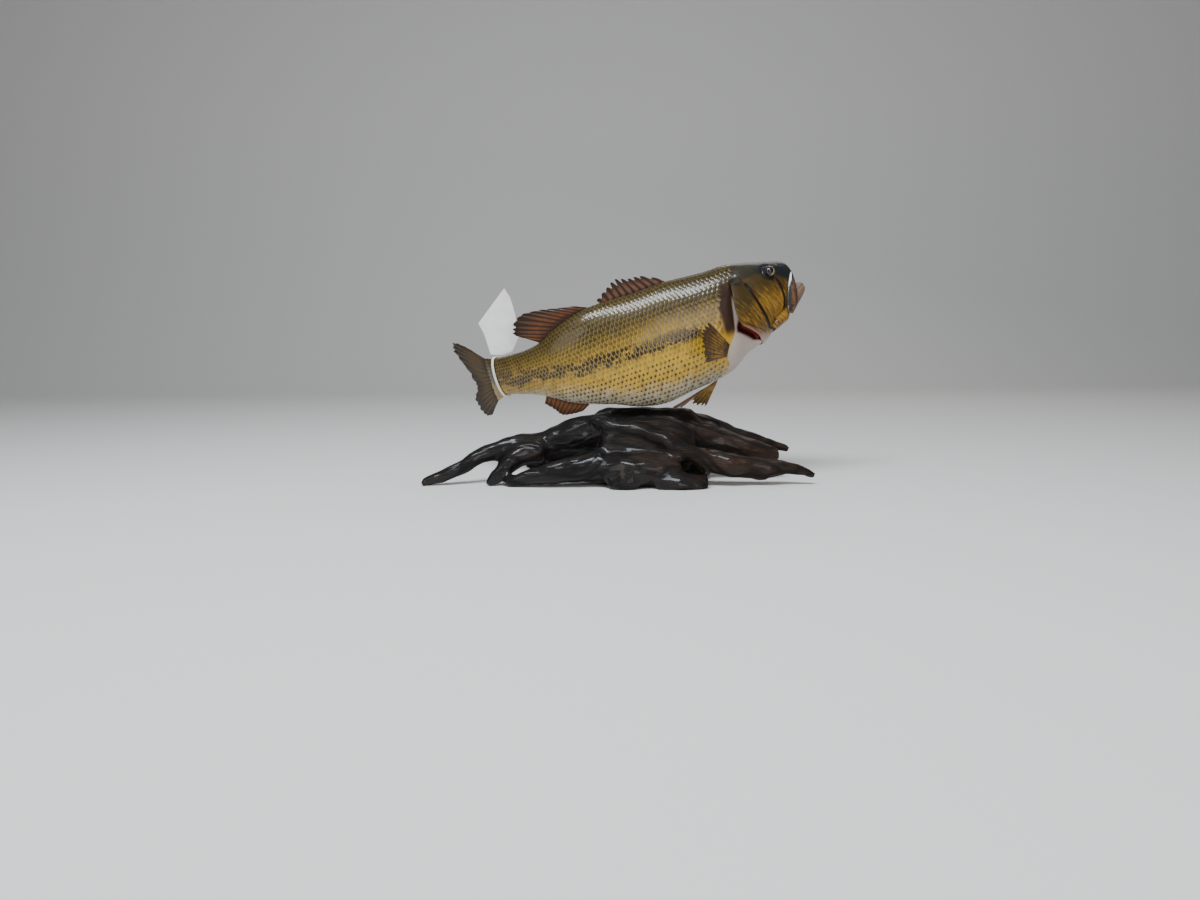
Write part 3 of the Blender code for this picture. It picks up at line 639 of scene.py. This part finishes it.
# a pale patch under the maxilla: the jaw's pale skin with a painted highlight on it
patch = (u - 1.72).bell(0.0, 0.035) * (w + 0.145).bell(0.0, 0.045)
colour = patch.rise(0.25, 0.60).between(colour, JAW_WHITE_AND_GLINT)
colour = inside.between(colour, GILL_DARK)
dress(
    Base_Color=colour,
    Roughness=0.34 + mottle * 0.18,
    Specular_IOR_Level=0.16,
    Coat_Weight=0.48 - shoulder * 0.42,
    Coat_Roughness=0.09,
    Normal=(spokes * 0.8 + fleck * 0.3).bumped(0.8, 0.0010),
)
hide_points, hide_faces = tube_piece(hide)
jaw_points, jaw_faces = tube_piece(jaw_rings, first=len(hide_points))
FLESH = ["trunk", "tail_stock", "head", "lower_jaw", "gill_cover_right", "gill_cover_left"]
flesh_points = np.concatenate([hide_points, jaw_points])
jaw_fold = np.zeros_like(jaw_points) + (0.0, 0.5, 2.0)
add_piece("bass_skin", bent(flesh_points), hide_faces + jaw_faces, hide_paint, FLESH,
          {"place": flesh_points / 100.0,
           "face": face_marks(flesh_points),
           "fold": np.concatenate([fold_marks(hide).reshape(-1, 3), jaw_fold])})


# Scales. Thin horny plates in staggered rows, each with its root in the skin and its rounded rear edge
# over the next ones, painted one by one with the body's markings.
SIDES = ((-1, "right"), (1, "left"))
LATERAL_LINE = [(-200.0, 18.5), (-150.0, 16.0), (-110.0, 19.0), (-70.0, 24.0), (-20.0, 29.0),
                (45.0, 34.0), (118.0, 38.0)]
COLUMN_STEP = [(-200.0, 3.7), (-120.0, 4.2), (-40.0, 4.9), (120.0, 5.1)]
ROW_STEP = [(-200.0, 4.0), (-120.0, 4.5), (-45.0, 5.7), (60.0, 5.9), (120.0, 5.0)]
ROWS_BELOW, ROWS_ABOVE = 24, 14
# how far forward the scales run, by height
SCALES_END = [(-60.0, 84.0), (-35.0, 93.0), (0.0, 94.0), (25.0, 97.0), (40.0, 106.0), (48.0, 119.0),
              (66.0, 129.0)]
FLAP_ACROSS, FLAP_ALONG = 7, 7
FLAP_LIFT = 0.55
SCALE_BROWN = (0.030, 0.018, 0.005, 1)
SCALE_ROOT = (0.014, 0.009, 0.003, 1)
SCALE_RIM = (0.58, 0.40, 0.07, 1)
SCALE_DOT = (0.012, 0.006, 0.003, 1)


def scale_roots():
    """Each scale's root on one side: u, angle, the size of its cell, and its share of the way round."""
    roots = []
    columns = [-194.0]
    while columns[-1] < 129.0:
        columns.append(columns[-1] + np.interp(columns[-1], *zip(*COLUMN_STEP)))
    fine = np.linspace(-0.5, 0.5, 241) * math.pi
    for base_u in columns:
        step_u = np.interp(base_u, *zip(*COLUMN_STEP))
        for odd in (0, 1):
            u = base_u + odd * step_u / 2
            ring = body_at(OUTLINE, np.full_like(fine, u), fine, -SKIN_INSET)
            lengths = np.hypot(np.diff(ring[:, 1]), np.diff(ring[:, 2]))
            arc = np.concatenate([[0.0], np.cumsum(lengths)])
            line_arc = np.interp(np.interp(u, *zip(*LATERAL_LINE)), ring[:, 2], arc)
            step = np.interp(u, *zip(*ROW_STEP))
            for row in range(-ROWS_BELOW, ROWS_ABOVE + 1):
                if row % 2 != odd:
                    continue
                at = line_arc + row * step
                if not 1.2 < at < arc[-1] - 0.6:
                    continue
                angle = np.interp(at, arc, fine)
                w = np.interp(at, arc, ring[:, 2])
                if u > np.interp(w, *zip(*SCALES_END)):
                    continue
                roots.append((u, angle, step_u, step, at / arc[-1]))
    return np.array(roots)


def flap(side, roots):
    """Points of every scale on one side, as a grid each, in the straight fish."""
    across = np.linspace(-1.0, 1.0, FLAP_ACROSS)
    back = np.sin(np.linspace(0.0, 0.5, FLAP_ALONG) * math.pi)
    u0, angle0, step_u, step = (roots[:, k][:, None, None] for k in range(4))
    a, b = across[None, None, :], back[None, :, None]
    width = step * 1.10 * np.sqrt(np.maximum(1.0 - ((b - 0.46) / 0.56) ** 2, 0.02))
    chance = np.array([dice.uniform(-1, 1) for _ in range(len(roots) * 3)]).reshape(-1, 3)
    u = u0 + step_u * (0.45 - 1.75 * b) * (1.0 + 0.05 * chance[:, :1, None])
    ahead, behind = (body_at(OUTLINE, u0, angle0 + step, 0.0) for step in (0.01, -0.01))
    girth = np.hypot(*np.moveaxis(ahead - behind, -1, 0)[1:]) / 0.02
    angle = angle0 + a * width / np.maximum(girth, 4.0)
    angle = np.clip(angle, -0.5 * math.pi - 0.02, 0.5 * math.pi + 0.02)
    lift = -0.30 + (FLAP_LIFT + 0.30 + 0.10 * chance[:, 1:2, None]) * b - 0.30 * a * a * (0.3 + 0.7 * b)
    lift = lift - np.where(b > 0.999, 0.35, 0.0)
    u, angle, lift = np.broadcast_arrays(u, angle, lift)
    points = body_at(OUTLINE, u, angle, -SKIN_INSET + lift)
    points[..., 1] *= side
    marks = np.stack(np.broadcast_arrays(a, b, 0.5 + 0.5 * chance[:, 2:3, None]), -1)
    return points, marks


scale_paint, start, dress = new_finish("bass_scales")
colour, u, side, w, mottle, fleck = fish_colour(start)
flap_place = start.mark("flap")
across, back, chance = flap_place.part("X"), flap_place.part("Y"), flap_place.part("Z")
rim = (back + across * across * 0.22).rise(0.84, 0.99) * (1.0 - u.rise(0.1, 0.8) * 0.6)
root = (back + across * across * 0.30).rise(0.76, 0.50)
high = (w + u.rise(0.2, 0.9) * 0.16).rise(0.02, 0.36)
browner = (chance * 0.55 + mottle * 0.30 - 0.32).maths("MAXIMUM", 0.0)
colour = browner.between(colour, SCALE_BROWN)
colour = (root * (0.35 + high * 0.45)).between(colour, SCALE_ROOT)
colour = (rim * (0.50 - high * 0.30)).between(colour, SCALE_RIM)
size = 0.55 + chance * 0.55 - u.rise(-0.2, 0.7) * 0.28
dot = (across / size).bell(0.0, 0.28) * (back - 0.70).bell(0.0, 0.11)
dot = dot * (w + chance * 0.14).rise(-0.02, -0.14)
dot = dot * (chance + mottle * 0.5).rise(0.28, 0.48) * u.rise(-1.7, -1.2)
colour = dot.rise(0.12, 0.55).between(colour, SCALE_DOT)
dress(
    Base_Color=colour,
    Roughness=0.30 + chance * 0.14,
    Specular_IOR_Level=0.25,
    Metallic=0.15,
    Coat_Weight=0.55,
    Coat_Roughness=0.08,
    Normal=(fleck * 0.5 + back * 0.3).bumped(0.25, 0.0004),
)
PATCH = 0.003     # how wide each scale lies on the flat map of the skin
for side_sign, label in SIDES:
    roots = scale_roots()
    points, marks = flap(side_sign, roots)
    count = len(roots)
    r, c = np.meshgrid(np.arange(FLAP_ALONG - 1), np.arange(FLAP_ACROSS - 1), indexing="ij")
    cell = np.stack([r * FLAP_ACROSS + c, r * FLAP_ACROSS + c + 1, (r + 1) * FLAP_ACROSS + c + 1,
                     (r + 1) * FLAP_ACROSS + c], -1).reshape(-1, 4)
    if side_sign > 0:
        cell = cell[:, ::-1]
    faces = (cell[None] + (np.arange(count) * FLAP_ACROSS * FLAP_ALONG)[:, None, None]).reshape(-1, 4)
    piece = add_piece(f"scales_{label}", bent(points).reshape(-1, 3), faces, scale_paint,
                      ["trunk", "tail_stock"],
                      {"place": points.reshape(-1, 3) / 100.0, "flap": marks.reshape(-1, 3)})
    at = np.stack([(roots[:, 0] + 200.0) / 330.0, 0.02 + 0.96 * roots[:, 4]], -1)[:, None, None, :]
    spread = np.stack([marks[..., 1] - 0.5, marks[..., 0] * 0.5], -1) * PATCH
    flat_map = (at + spread).reshape(-1, 2)[faces.ravel()]
    piece.data.uv_layers.new(name="OFBake").data.foreach_set("uv", flat_map.astype(np.float32).ravel())


# Fins. Bony rays with thin webbing between, dried and painted, torn and frayed along the outer edge.
# Each grows from a line on the body; the front dorsal's rays are spines that end in points.
def curve_at(points, t):
    """The places at each t, from 0 to 1, on a smooth curve through points."""
    knots = np.asarray(points, float)
    last = len(knots) - 1
    t = np.asarray(t, float)
    i = np.clip((t * last).astype(int), 0, last - 1)
    x = (t * last - i)[..., None]
    before, after = knots[np.maximum(i - 1, 0)], knots[np.minimum(i + 2, last)]
    a, b = knots[i], knots[i + 1]
    slope_a, slope_b = (b - before) / 2, (after - a) / 2
    return eased(a, b, slope_a, slope_b, x)


def edge_line(column, start, end):
    return [(u, 0.0, table_at(OUTLINE, u)[column]) for u in np.linspace(start, end, 8)]


FINS = {
    "spiny_dorsal_fin": dict(
        base=edge_line(1, 48.0, -30.0),
        tip=[(40, 0, 73.5), (20, 0, 81.5), (6, 0, 83), (-8, 0, 86.5), (-20, 0, 77), (-33, 0, 69)],
        rays=10, torn=0.36, ragged=0.10, web=0.35, ray=0.75, branch=0.0),
    "soft_dorsal_fin": dict(
        base=edge_line(1, -45.0, -112.0),
        tip=[(-58, 0, 70.5), (-82, 0, 75.5), (-104, 0, 80), (-127, 0, 81), (-139, 0, 70), (-141, 0, 61),
             (-127, 0, 53)],
        rays=12, torn=0.08, ragged=0.05, web=0.30, ray=0.45, branch=1.0),
    "anal_fin": dict(
        base=edge_line(2, -76.0, -124.0),
        tip=[(-86, 0, -48), (-101, 0, -48), (-113, 0, -44.5), (-120, 0, -36), (-129, 0, -27)],
        rays=10, torn=0.10, ragged=0.05, web=0.30, ray=0.45, branch=1.0),
    "caudal_fin": dict(
        base=[(-198.5, 0, 44.5), (-200, 0, 18), (-198.5, 0, -7.5)],
        tip=[(-230, 0, 63.5), (-263, 0, 78), (-275, 0, 72), (-262, 0, 52), (-246, 0, 25), (-244, 0, 12),
             (-256, 0, 0), (-252, 0, -13), (-243, 0, -24), (-226, 0, -24)],
        rays=17, torn=0.07, ragged=0.05, web=0.30, ray=0.50, branch=1.0),
    "pectoral_fin_right": dict(
        base=[(92.5, -34.6, -22), (89, -34, -29), (86, -32.4, -35)],
        tip=[(75.5, -64, 10), (67, -71, 5), (62.5, -74, -3), (61, -72, -14), (60.5, -61, -33)],
        rays=9, torn=0.13, ragged=0.07, web=0.25, ray=0.40, branch=1.0),
    "pelvic_fin_left": dict(
        base=[(78, 13, -58.6), (73, 11, -60.8), (68, 9, -62.4)],
        tip=[(54, 22, -88), (45, 19, -85), (38, 15, -78), (42, 12, -70)],
        rays=6, torn=0.12, ragged=0.05, web=0.25, ray=0.45, branch=1.0),
    "pelvic_fin_right": dict(
        base=[(58, -9, -63.4), (54, -8.5, -64.2), (50, -8, -65)],
        tip=[(24, -16, -76), (17, -14.5, -75), (14, -12, -73.5)],
        rays=5, torn=0.12, ragged=0.05, web=0.25, ray=0.45, branch=1.0),
}
FINS["pectoral_fin_left"] = dict(FINS["pectoral_fin_right"])
for line in ("base", "tip"):
    FINS["pectoral_fin_left"][line] = [(u, -v, w) for u, v, w in FINS["pectoral_fin_right"][line]]
PER_RAY, ALONG_RAY = 10, 26


def ray_ridges(t, share, rays, branch):
    """How much of a ray stands at each place: each ray splits in two, and again, on its way out."""
    place = t * rays
    centre = np.floor(place) + 0.5
    off = place - centre
    first = branch * 0.20 * smooth(0.35, 1.0, share)
    second = branch * 0.09 * smooth(0.62, 1.0, share)
    wide = 0.22 - 0.11 * share * branch - 0.07 * share
    ridge = np.zeros(np.broadcast(t, share).shape)
    for one in (-1, 1):
        for two in (-1, 1):
            ridge = np.maximum(ridge, np.exp(-((off - one * first - two * second) / wide) ** 2))
    return ridge


def add_fin(name, finish, slot, base, tip, rays, torn, ragged, web, ray, branch):
    count = rays * PER_RAY + 1
    t = np.linspace(0.0, 1.0, count)[:, None]
    share = np.linspace(0.0, 1.0, ALONG_RAY)[None, :]
    root, end = curve_at(base, t[:, 0]), curve_at(tip, t[:, 0])
    way = end - root
    run = (curve_at(base, np.minimum(t[:, 0] + 0.01, 1.0))
           - curve_at(base, np.maximum(t[:, 0] - 0.01, 0.0)))
    over = np.cross(way, run)
    over /= np.linalg.norm(over, axis=-1, keepdims=True)
    reach = np.array([1.0 - ragged * dice.random() for _ in range(rays)])
    inside = t[:, 0] * rays
    index = np.clip(inside.astype(int), 0, rays - 1)
    off = np.abs(inside - index - 0.5) * 2
    gaps = np.array([dice.uniform(0.4, 1.0) for _ in range(rays + 1)])
    gap = gaps[np.clip(np.round(inside), 0, rays).astype(int)]
    length = reach[index] - torn * gap * smooth(0.25, 1.0, off)
    if branch:
        length -= 0.02 * np.abs(np.sin(inside * math.pi * 4))
    sunk = 1.6 / np.linalg.norm(way, axis=-1)
    reach_share = -sunk[:, None] + (length + sunk)[:, None] * share
    middle = root[:, None] + way[:, None] * reach_share[..., None]
    ridge = ray_ridges(t, share, rays, branch)
    thick = (web + ray * ridge * (1.0 - 0.55 * share)) * (1.0 - 0.45 * share**3)
    thick = thick * np.where(share > 0.999, 0.35, 1.0) / 2
    wave = 0.40 * np.sin(t * rays * math.pi * 2) * share + 0.5 * np.sin(t * 7.0 + share * 3.0) * share**2
    sheets = [middle + over[:, None] * (wave + sign * thick)[..., None] for sign in (1, -1)]
    points = np.concatenate([sheet.reshape(-1, 3) for sheet in sheets])
    grid = np.arange(count * ALONG_RAY).reshape(count, ALONG_RAY)
    a, b, c, d = grid[:-1, :-1], grid[:-1, 1:], grid[1:, 1:], grid[1:, :-1]
    front = np.stack([a, b, c, d], -1).reshape(-1, 4)
    rear = front[:, ::-1] + grid.size
    rim = np.concatenate([grid[0, :], grid[1:, -1], grid[-1, -2::-1], grid[-2:0:-1, 0]])
    rim_next = np.roll(rim, -1)
    wall = np.stack([rim_next, rim, rim + grid.size, rim_next + grid.size], -1)
    marks = np.stack(np.broadcast_arrays(t * rays, share, ridge), -1).reshape(-1, 3)
    faces = np.concatenate([front, rear, wall])
    add_piece(name + "_rays", bent(points), faces, finish, [name],
              {"ray": np.concatenate([marks, marks]), "place": points / 100.0})


def fin_paint(name, web, ray, edge, reddish):
    made, start, dress = new_finish(name)
    rays = start.mark("ray")
    place = start.mark("place")
    out, ridge = rays.part("Y"), rays.part("Z")
    blot = place.noise(16.0, 4.0, 0.65)
    fine = (rays * (3.0, 1.2, 0.0)).noise(3.0, 3.0, 0.6)
    colour = (blot.rise(0.40, 0.66)).between(web, reddish)
    colour = (out + blot * 0.4 - 0.2).rise(0.35, 1.05).between(colour, edge)
    colour = (ridge.rise(0.12, 0.55) * (0.98 - fine * 0.30)).between(colour, ray)
    colour = (out.rise(0.26, 0.08) * 0.7).between(colour, ray)
    joints = (out * 46.0).maths("SINE").rise(0.2, 0.9) * ridge
    dress(
        Base_Color=colour,
        Roughness=0.42 + blot * 0.2,
        Specular_IOR_Level=0.18,
        Coat_Weight=0.22,
        Coat_Roughness=0.14,
        Normal=(fine * 0.5 + joints * 0.25).bumped(0.35, 0.0004),
    )
    return made


DARK_FIN = fin_paint(
    "brown_fin", web=(0.080, 0.030, 0.010, 1), ray=(0.012, 0.006, 0.003, 1),
    edge=(0.030, 0.012, 0.005, 1), reddish=(0.13, 0.034, 0.011, 1))
TAIL_FIN = fin_paint(
    "tail_fin", web=(0.070, 0.040, 0.010, 1), ray=(0.013, 0.008, 0.003, 1),
    edge=(0.030, 0.016, 0.006, 1), reddish=(0.11, 0.055, 0.012, 1))
SIDE_FIN = fin_paint(
    "pectoral_fin", web=(0.30, 0.165, 0.024, 1), ray=(0.016, 0.007, 0.003, 1),
    edge=(0.10, 0.045, 0.010, 1), reddish=(0.13, 0.050, 0.010, 1))
WARM_FIN = fin_paint(
    "orange_fin", web=(0.17, 0.065, 0.014, 1), ray=(0.040, 0.014, 0.005, 1),
    edge=(0.070, 0.026, 0.009, 1), reddish=(0.24, 0.075, 0.016, 1))
# painted light: the far pelvic fin gets a brighter, yellower copy of the orange fin, for the light that shines
# through it
FAR_FIN_LIT = fin_paint(
    "lit_yellow_fin", web=(0.34, 0.22, 0.045, 1), ray=(0.070, 0.035, 0.009, 1),
    edge=(0.13, 0.080, 0.020, 1), reddish=(0.24, 0.095, 0.016, 1))
FIN_FINISH = {
    "spiny_dorsal_fin": (DARK_FIN, "dark_fin"),
    "soft_dorsal_fin": (DARK_FIN, "dark_fin"),
    "caudal_fin": (TAIL_FIN, "dark_fin"),
    "pectoral_fin_right": (SIDE_FIN, "dark_fin"),
    "pectoral_fin_left": (SIDE_FIN, "dark_fin"),
    "anal_fin": (WARM_FIN, "warm_fin"),
    "pelvic_fin_right": (WARM_FIN, "warm_fin"),
    "pelvic_fin_left": (FAR_FIN_LIT, "warm_fin"),
}
for fin_name, shape in FINS.items():
    add_fin(fin_name, *FIN_FINISH[fin_name], **shape)


# Gills. Red feathery filaments on curved arches, set in the slit behind each gill cover and lacquered.
GILL_FRONT = [(126.0, -28.4, 8.0), (127.0, -28.2, -6.0), (131.0, -22.6, -20.0)]
GILL_REAR = [(114.6, -35.0, 12.0), (114.8, -35.0, -8.0), (121.0, -27.5, -27.5)]
GILL_LAYERS = 3
GILL_BLADES = 84
GILL_LAYER_STEP = 1.3
GILL_WIDE, GILL_THICK = 0.30, 0.55
# how far along a filament, and how full it is there
GILL_SWELL = ((0.0, 0.3), (0.25, 1.0), (0.6, 0.9), (0.9, 0.5), (1.0, 0.1))
GILL_DEEP_RED = (0.20, 0.012, 0.012, 1)
GILL_BRIGHT_RED = (0.46, 0.045, 0.035, 1)

gill_red, start, dress = new_finish("gill_red")
place = start.mark("place")
blotch = place.noise(30.0, 4.0, 0.6)
colour = blotch.rise(0.35, 0.65).between(GILL_DEEP_RED, GILL_BRIGHT_RED)
dress(Base_Color=colour, Roughness=0.34, Coat_Weight=0.6, Coat_Roughness=0.1,
      Normal=blotch.bumped(0.3, 0.0005))
for side_sign, label in SIDES:
    blades, blade_faces = [], []
    for layer in range(GILL_LAYERS):
        depth = 1.0 - layer * GILL_LAYER_STEP
        for k in range(GILL_BLADES):
            t = (k + 0.5) / GILL_BLADES
            root, end = curve_at(GILL_FRONT, t), curve_at(GILL_REAR, t)
            reach = 1.0 - 0.10 * dice.random() - 0.05 * layer
            first = len(blades)
            for share, swell in GILL_SWELL:
                spot = root + (end - root) * share * reach
                bow = 1.1 * math.sin(math.pi * share)
                sway = 0.5 * math.sin(k * 1.9 + layer) * share
                spot[1] -= bow - depth + sway
                wide, thick = swell * GILL_WIDE, swell * GILL_THICK
                for dv, dw in ((thick, 0), (0, wide), (-thick, 0), (0, -wide)):
                    blades.append((spot[0], spot[1] + dv, spot[2] + dw))
            for run in range(len(GILL_SWELL) - 1):
                for corner in range(4):
                    a = first + run * 4 + corner
                    b = first + run * 4 + (corner + 1) % 4
                    blade_faces.append((a, b, b + 4, a + 4))
    blades = np.array(blades)
    blades[:, 1] *= -side_sign
    faces = np.array(blade_faces)
    if side_sign < 0:
        faces = faces[:, ::-1]
    add_piece(f"gill_filaments_{label}", bent(blades), faces, gill_red, [f"gills_{label}"],
              {"place": blades / 100.0})


# Maxillae. The bony plate at each side of the upper lip, almost black with a brown middle and a gloss.
# Each hangs from the snout and lies over the corner of the mouth.
# u, w and half width down the plate
MAXILLA_LINE = [(188.5, 33.0, 2.2), (186.0, 27.0, 3.6), (183.0, 19.5, 5.0), (179.0, 9.0, 6.4),
                (175.0, -2.0, 7.0), (172.6, -8.5, 5.0), (171.6, -11.6, 1.5)]
MAXILLA_LEAN = 0.35
MAXILLA_RINGS, MAXILLA_AROUND = 60, 40
MAXILLA_BLACK = (0.012, 0.010, 0.010, 1)
MAXILLA_BROWN = (0.16, 0.070, 0.024, 1)

horn, start, dress = new_finish("maxilla_horn")
plate_place = start.mark("plate")
place = start.mark("place")
cloud = place.noise(22.0, 4.0, 0.6)
centre = plate_place.part("X").bell(0.05, 0.42) * plate_place.part("Y").rise(0.10, 0.35)
centre = centre * plate_place.part("Y").rise(0.98, 0.80) * cloud.rise(0.28, 0.55)
colour = centre.between(MAXILLA_BLACK, MAXILLA_BROWN)
dress(Base_Color=colour, Roughness=0.22 + cloud * 0.15, Coat_Weight=0.8, Coat_Roughness=0.08,
      Normal=cloud.bumped(0.3, 0.0005))
for side_sign, label in SIDES:
    t = np.linspace(0.0, 1.0, MAXILLA_RINGS)
    u, w, half = np.moveaxis(curve_at(MAXILLA_LINE, t), -1, 0)
    turn = np.linspace(0.0, 2 * math.pi, MAXILLA_AROUND + 1)[:-1]
    across = np.cos(turn)[None, :]
    wide = half[:, None] * (1.0 + 0.30 * np.sin(math.pi * t[:, None]))
    at = u[:, None] + across * wide
    rear_edge = table_at(OUTLINE, np.minimum(u[:, None] - wide, FACE_TURNS))[..., 3]
    beside = table_at(OUTLINE, np.minimum(at, FACE_TURNS))[..., 3]
    cheek = rear_edge + (beside - rear_edge) * 0.30 - 1.2
    keel = np.where(np.sin(turn) > 0, 0.5 * np.exp(-(across / 0.35) ** 2), 0.0)
    bulge = np.sin(turn)[None, :] + keel
    out = cheek + 2.2 - 0.9 * across**2 + bulge
    rings = np.stack([at, side_sign * out, w[:, None] + MAXILLA_LEAN * across * half[:, None]], -1)
    points, faces = tube_piece(rings)
    plate = np.stack(np.broadcast_arrays(across, t[:, None], 0.0), -1).reshape(-1, 3)
    if side_sign < 0:
        faces = [face[::-1] for face in faces]
    add_piece(f"maxilla_plate_{label}", bent(points), faces, horn, [f"maxilla_{label}"],
              {"plate": plate, "place": points / 100.0})


# Eyes. Domed glass, painted behind: a dark pupil in a brown iris broken with grain, with painted light: the
# iris turns gold on its lower front side, where light through the dome falls.
EYE_AT = (156.6, 23.4, 40.5)
EYE_TILTS, EYE_TURNS = 48, 72
PUPIL = (0.0015, 0.0015, 0.002, 1)
IRIS_BROWN = (0.020, 0.014, 0.010, 1)
# the iris where painted light through the dome falls on it
IRIS_LIT_GOLD = (0.46, 0.24, 0.035, 1)
EYE_EDGE = (0.020, 0.016, 0.014, 1)

glass, start, dress = new_finish("glass_eye")
disc = start.mark("disc")
away = disc.part("X")
grain = (disc * (2.0, 1.0, 1.0)).noise(9.0, 4.0, 0.7)
lit_gold = (disc.part("Y") + grain * 0.3 - 0.15).rise(-0.05, 0.45)
iris = lit_gold.between(IRIS_BROWN, IRIS_LIT_GOLD)
colour = (away + grain * 0.10 - 0.05).rise(0.50, 0.55).between(PUPIL, iris)
colour = (away + grain * 0.30 - 0.15).rise(0.72, 0.86).between(colour, EYE_EDGE)
dress(Base_Color=colour, Roughness=0.25, Specular_IOR_Level=0.2, Coat_Weight=0.9, Coat_Roughness=0.02)
for side_sign, label in SIDES:
    tilt = np.linspace(0.0, math.pi, EYE_TILTS)[:, None]
    turn = np.linspace(0.0, 2 * math.pi, EYE_TURNS + 1)[None, :-1]
    ball = (np.sin(tilt) * np.cos(turn), np.cos(tilt), np.sin(tilt) * np.sin(turn))
    rings = np.stack(np.broadcast_arrays(*ball), -1) * EYE_RADIUS
    centre = np.array(bent((EYE_AT[0], side_sign * EYE_AT[1], EYE_AT[2])))
    outward = (EYE_AT[0] - 5.0, side_sign * (EYE_AT[1] + 20.0), EYE_AT[2] + 2.0)
    axis = np.array(bent(outward)) - centre
    axis /= np.linalg.norm(axis)
    turned = np.array(Vector(axis).to_track_quat("Y", "Z").to_matrix())
    spots = rings.reshape(-1, 3) @ turned.T
    # which way the painted light lies: forward and down, where the iris turns gold
    ahead = np.array(bent((EYE_AT[0] + 20.0, side_sign * EYE_AT[1], EYE_AT[2] - 14.0))) - centre
    toward_lit_side = (spots @ (ahead / np.linalg.norm(ahead)) / EYE_RADIUS).reshape(tilt.size, -1)
    off_middle = np.sin(tilt) + (tilt > math.pi / 2) * 2.0
    disc_marks = np.stack(np.broadcast_arrays(off_middle, toward_lit_side, turn), -1)
    points = centre + spots * MM
    faces = ring_faces(EYE_TILTS, EYE_TURNS)
    add_piece(f"eye_glass_{label}", points, faces, glass, [f"eye_{label}"],
              {"disc": disc_marks.reshape(-1, 3)})


# Tag. A blank card on a paper band round the tail's root, as a sale or a store puts on a finished mount.
PAPER_WHITE = (0.80, 0.80, 0.77, 1)
PAPER_STAINED = (0.70, 0.69, 0.63, 1)

paper, start, dress = new_finish("white_paper")
place = start.node("TexCoord", output="Object")
fibre = place.noise(900.0, 3.0, 0.6)
stain = place.noise(60.0, 3.0, 0.6)
dress(Base_Color=stain.rise(0.3, 0.75).between(PAPER_WHITE, PAPER_STAINED),
      Roughness=0.55 + fibre * 0.2, Normal=fibre.bumped(0.2, 0.0002))
for node_name in ("tag_card", "tag_band"):
    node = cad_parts[node_name]
    node.data.materials.clear()
    node.data.materials.append(paper)


# Stage. A pale floor with a sweep behind, big soft lights, and the camera at the height of the shelf.
SWEEP_AT, SWEEP_RADIUS, FLOOR_REACH, FLOOR_FRONT = 1.5, 1.0, 4.0, -5.0
profile = [(FLOOR_FRONT, 0.0), (SWEEP_AT, 0.0)]
for k in range(1, 17):
    turn = k / 16 * math.pi / 2
    profile.append((SWEEP_AT + SWEEP_RADIUS * math.sin(turn), SWEEP_RADIUS * (1 - math.cos(turn))))
profile.append((SWEEP_AT + SWEEP_RADIUS, 4.0))
floor_points = [(x, y, z) for y, z in profile for x in (-FLOOR_REACH, FLOOR_REACH)]
floor_faces = [(2 * k, 2 * k + 1, 2 * k + 3, 2 * k + 2) for k in range(len(profile) - 1)]
floor_mesh = bpy.data.meshes.new("floor")
floor_mesh.from_pydata(floor_points, [], floor_faces)
floor_mesh.shade_smooth()
pale, _, dress = new_finish("pale_floor")
dress(Base_Color=(0.74, 0.72, 0.69, 1), Roughness=0.8)
floor_mesh.materials.append(pale)
floor = bpy.data.objects.new("floor", floor_mesh)
bpy.context.scene.collection.objects.link(floor)

# place, width, depth and power
LIGHTS = {
    "overhead": ((-0.25, -0.80, 1.50), 1.2, 0.45, 40.0),
    "front": ((0.5, -2.0, 0.7), 0.9, 0.9, 10.0),
    "left": ((-1.4, -1.6, 0.9), 0.9, 0.9, 6.0),
    "rear": ((0.6, 1.3, 1.5), 1.0, 1.0, 5.0),
}
OVERHEAD_TINT = (0.84, 0.92, 1.0)
FRONT_TINT = (1.0, 0.95, 0.88)
for name, (spot, wide, deep, power) in LIGHTS.items():
    lamp = bpy.data.lights.new(name, "AREA")
    lamp.shape = "RECTANGLE"
    lamp.size = wide
    lamp.size_y = deep
    lamp.energy = power
    lamp.color = OVERHEAD_TINT if name == "overhead" else FRONT_TINT
    holder = bpy.data.objects.new(name, lamp)
    bpy.context.scene.collection.objects.link(holder)
    holder.location = spot
    holder.rotation_euler = (Vector((0.0, 0.0, 0.13)) - Vector(spot)).to_track_quat("-Z", "Y").to_euler()
sky = bpy.data.worlds.new("soft_room")
bpy.context.scene.world = sky
sky.use_nodes = True
background = sky.node_tree.nodes["Background"]
background.inputs["Color"].default_value = (0.90, 0.93, 1.0, 1)
background.inputs["Strength"].default_value = 0.22

CAMERA_AT = (-0.00769, -1.0626, 0.17384)
CAMERA_RIGHT = Vector((0.99991663, 0.00891356, -0.00934222))
CAMERA_UP = Vector((0.00808379, 0.13204535, 0.99121071))
CAMERA_BACK = Vector((0.01006881, -0.9912036, 0.13196228))
lens = bpy.data.cameras.new("camera")
lens.lens = 27.0
lens.sensor_width = 36.0
lens.clip_start = 0.01
camera = bpy.data.objects.new("camera", lens)
bpy.context.scene.collection.objects.link(camera)
turned = Matrix((CAMERA_RIGHT, CAMERA_UP, CAMERA_BACK)).transposed().to_4x4()
camera.matrix_world = Matrix.Translation(CAMERA_AT) @ turned
bpy.context.scene.camera = camera
